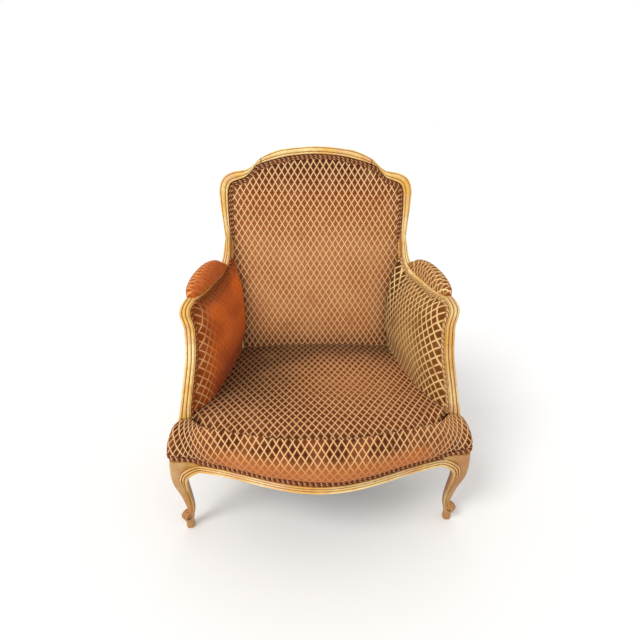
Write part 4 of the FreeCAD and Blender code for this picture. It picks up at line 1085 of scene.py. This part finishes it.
def arm_welt(side):
    """Cord pair beside the arm's wood, inside (1) or outside (-1), left-hand side."""
    outer, inner = arm_curves()
    t = np.linspace(0.6, KNUCKLE + (9.6 if side > 0 else 7.5), 70)
    a, b = outer(t), inner(t)
    across = unit(b - a)
    face = arm_face(t)
    points = b + across * 0.4 - face * 8.5 if side > 0 else a + across * 3.2 - face * 17.0
    directions = spline(across * side)
    return double_welt(points, lambda s, p: directions(s), 2.5)


def seat_welt():
    lift = APRON_LOW + LIP + WELT / 2 + 0.5
    half = [(x, float(apron_y(x)) - 0.6, lift) for x in (0, 60, 120, 180, 230, 270)]
    half += [(302, float(apron_y(302)) - 1.4, lift + 5), (325, -198.5, lift + 10), (353, -198, lift + 14),
             (370, -192, lift + 16), (376.5, -180, lift + 16), (376.5, -148, lift + 16)]
    path = [(-x, y, z) for x, y, z in reversed(half[1:])] + half
    return double_welt(path, lambda t, p: np.cross(unit(np.gradient(p, axis=0)), UP))


def outside_back_welt():
    half = shrunk(stile_side() + OUTER_EAR, COVER_INSET - WELT / 2 - 1)
    points = on_back(*np.array(both(half)).T, -BACK_DEPTH - 0.5)
    return double_welt(points, lambda t, p: np.broadcast_to(-FRONT, p.shape))


# The chair.
def shaded(sheet, amount):
    """Painted shade, growing towards the chair's outer sides."""
    reach = smooth(np.abs(sheet.rows[..., 0]), 262, 335)
    sheet.data["shade"] = (amount * reach)[..., None]
    return sheet


def wooden(name, sheets, *nodes):
    piece(joined(name, sheets), WOOD, "painted_wood", *nodes)


def handed(sheets, turned):
    return [sheet.mirror() if turned else sheet for sheet in sheets]


def wood_pieces():
    wooden("crest_moulding", [crest()], "crest_rail")
    outer, inner = stile_curves()
    stile = moulding(outer, inner, FRONT, BACK_DEPTH, 120)
    leg = rear_leg()
    for name, turned in (("left", False), ("right", True)):
        wooden("stile_and_rear_leg_" + name, handed((stile, leg), turned), "rear_post_" + name)
    outer, inner = arm_curves()
    upright = moulding(outer, inner, arm_face, 34, 150, REED_PROFILE, 0.0, KNUCKLE + 0.9)
    ledge = moulding(outer, inner, arm_face, 30, 110, FLAT_PROFILE, KNUCKLE + 0.85, KNUCKLE + 7.6)

    def sink(t):
        return -9.0 * smooth(t, ARM_END - 2.6, ARM_END)

    sweep = moulding(outer, inner, arm_face, 26, 80, REED_PROFILE, KNUCKLE + 7.55, ARM_END, sink)
    legs = front_leg()
    # tone is painted shade on the right-hand arm and leg, the side turned from the key light; depth holds
    # each leg part's painted shade, least on the reeds.
    for name, turned, tone in (("left", False, 0.0), ("right", True, 0.28)):
        sheets = handed((upright,), turned)
        wooden("arm_support_reeds_" + name, [shaded(s, tone) for s in sheets], "arm_support_" + name)
        sheets = handed((ledge, sweep), turned)
        wooden("arm_rail_moulding_" + name, [shaded(s, tone) for s in sheets], "arm_rail_" + name)
        depth = [0.6 + 0.5 * tone] + [0.56 + 0.5 * tone] * (len(legs) - 1)
        depth[LEG_REEDS] = 0.12 + 0.9 * tone
        sheets = [shaded(s, d) for s, d in zip(handed(legs, turned), depth)]
        wooden("cabriole_leg_" + name, sheets, "front_leg_" + name)
    wooden("apron_moulding", [apron_strip()])


def corded(name, sheets, node, cloth=WELT_CLOTH):
    piece(joined(name, sheets), cloth, "welt_cord", node)


def welt_pieces():
    back = double_welt(back_welt_points(), lambda t, p: np.broadcast_to(FRONT, p.shape))
    corded("inside_back_cords", back, "inside_back_welt")
    corded("outside_back_cords", outside_back_welt(), "outside_back_welt")
    corded("seat_cords", seat_welt(), "seat_welt")
    for side, place in ((1, "inside"), (-1, "outside")):
        sheets = arm_welt(side)
        for name, turned in (("left", False), ("right", True)):
            corded(place + "_arm_cords_" + name, handed(sheets, turned), place + "_arm_welt_" + name,
                   WELT_CLOTH if side < 0 else ARM_WELT[name])


def tacked_cloth(name, side, front, low, thickness, drop, material, slot, node):
    """A thin cloth tacked round its edge; drop gives how far it hangs at each point."""
    across = np.linspace(-1, 1, 61)
    rows = []
    for v in np.linspace(0, 1, 47):
        edge = [np.interp(v, np.linspace(0, 1, len(side)), [point[k] for point in side]) for k in (0, 1)]
        x = across * edge[0]
        y = edge[1] + (front(across * side[0][0]) - side[0][1]) * (1 - v)
        z = low - drop(x, y, across, v)
        over = np.column_stack([x, y, z + thickness])
        rows.append(np.vstack([np.column_stack([x, y, z]), over[::-1]]))
    cloth = piece(joined(name, [Sheet(rows, True, True)], 50.0), material, slot, node)


# Side edge of the black cloth, front to rear.
DUST_SIDE = [
    (272, -192.07), (298, -130), (244, 150), (204, 188)]


def under_cloths():
    """The black cloth under the seat and the canvas over its springs."""
    def hang(x, y, u, v):
        return 5.0 * (1 - u ** 4) * (1 - (2 * v - 1) ** 4) + 0.5 * np.abs(u) * np.sin(90 * v)

    def between_springs(x, y, u, v):
        along = np.abs((x / 100 + 0.5) - np.round(x / 100 + 0.5))
        back = np.abs((y - 2) / 95 - np.round((y - 2) / 95))
        return 0.2 + 1.6 * smooth(np.hypot(along, back), 0.3, 0.65) * (1 - u ** 8)

    tacked_cloth("dust_cover_cloth", DUST_SIDE, lambda x: apron_y(x) + 12, 214.0, 1.0, hang,
                 CAMBRIC, "black_cambric", "dust_cover")
    tacked_cloth("seat_canvas_cloth", [(290, -190), (212, 170)], lambda x: x * 0 - 190.0, 330.4, 1.0,
                 between_springs, JUTE, "jute", "seat_canvas")


def inside_pieces():
    kept = ((WOOD, ("front_seat_rail", "side_seat_rail_left", "side_seat_rail_right", "rear_seat_rail")),
            (BEECH, ("back_bottom_rail", "corner_blocks", "joint_dowels")),
            (STEEL, ("corner_block_screws", "seat_springs", "dust_cover_tacks")),
            (JUTE, ("seat_webbing", "back_webbing", "arm_webbing_left", "arm_webbing_right")))
    for material, name in ((material, name) for material, names in kept for name in names):
        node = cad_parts[name]
        if not node.material_slots:
            node.data.materials.append(material)
        for slot in node.material_slots:
            slot.link = "OBJECT"
            slot.material = material


def stand(data, columns, where):
    """Put a lamp or the camera in the scene, turned by the columns of a rotation."""
    holder = bpy.data.objects.new(data.name, data)
    bpy.context.collection.objects.link(holder)
    holder.matrix_world = Matrix.Translation(where) @ Matrix(np.column_stack(columns).tolist()).to_4x4()
    return holder


def studio():
    bpy.ops.mesh.primitive_plane_add(size=60, location=(0, 0, 0))
    floor = bpy.context.object
    floor.name = "studio_floor"
    floor.data.materials.append(floor_paint())
    world = bpy.data.worlds.new("studio")
    n = Nodes("studio", world, "Background")
    height = n.split(n.add("ShaderNodeTexCoord", {}, "Generated"))["Z"]
    sky = {"Value": height, "From Min": 0.22, "From Max": 0.6, "To Min": 0.93, "To Max": 0.74}
    sky = n.add("ShaderNodeMapRange", sky, interpolation_type="SMOOTHSTEP")
    rays = n.tree.nodes.new("ShaderNodeLightPath").outputs
    seen = n.math("MAXIMUM", rays["Is Camera Ray"], rays["Is Glossy Ray"])
    seen = n.math("MAXIMUM", seen, rays["Is Transmission Ray"])
    strength = n.add("ShaderNodeMix", {"Factor": seen, "A": sky, "B": 1.0}, "Result")
    n.finish(Strength=strength, Color=(1.0, 1.0, 1.0, 1.0))
    bpy.context.scene.world = world
    key = bpy.data.lights.new("key", "SUN")
    key.energy = 1.25
    key.angle = math.radians(24)
    key.color = (1.0, 0.98, 0.94)
    glint = bpy.data.lights.new("glint", "AREA")
    glint.size = 0.7
    glint.energy = 2.5
    for lamp, where, at in ((key, (-1.9, -1.6, 2.6), (0, 0, 0)), (glint, (-1.1, -1.5, 1.9), (0, 0, 0.5))):
        stand(lamp, look(np.array(at) - np.array(where), UP), where)


def look(aim, up):
    """Columns of a rotation whose minus Z runs along aim."""
    back = -aim / np.linalg.norm(aim)
    right = np.cross(up, back)
    right /= np.linalg.norm(right)
    return right, np.cross(back, right), back


def camera():
    yaw, pitch, roll = (math.radians(a) for a in CAMERA_TURN)
    forward = np.array([math.sin(yaw) * math.cos(pitch), math.cos(yaw) * math.cos(pitch), -math.sin(pitch)])
    level, over, back = look(forward, UP)
    right = math.cos(roll) * level + math.sin(roll) * over
    up = math.cos(roll) * over - math.sin(roll) * level
    lens = bpy.data.cameras.new("photo_camera")
    lens.sensor_width = 36.0
    lens.lens = FOCAL_PIXELS / PHOTO_PIXELS * lens.sensor_width
    bpy.context.scene.camera = stand(lens, [right, up, back], placed(CAMERA_AT).tolist())


wood_pieces()
welt_pieces()
inside_back()
deck()
front_roll()
for hand in (-1, 1):
    arm_panel(hand)
    manchette(hand)
    outside_arm(hand)
outside_back()
under_cloths()
inside_pieces()
studio()
camera()
bpy.context.scene.view_settings.view_transform = "Standard"
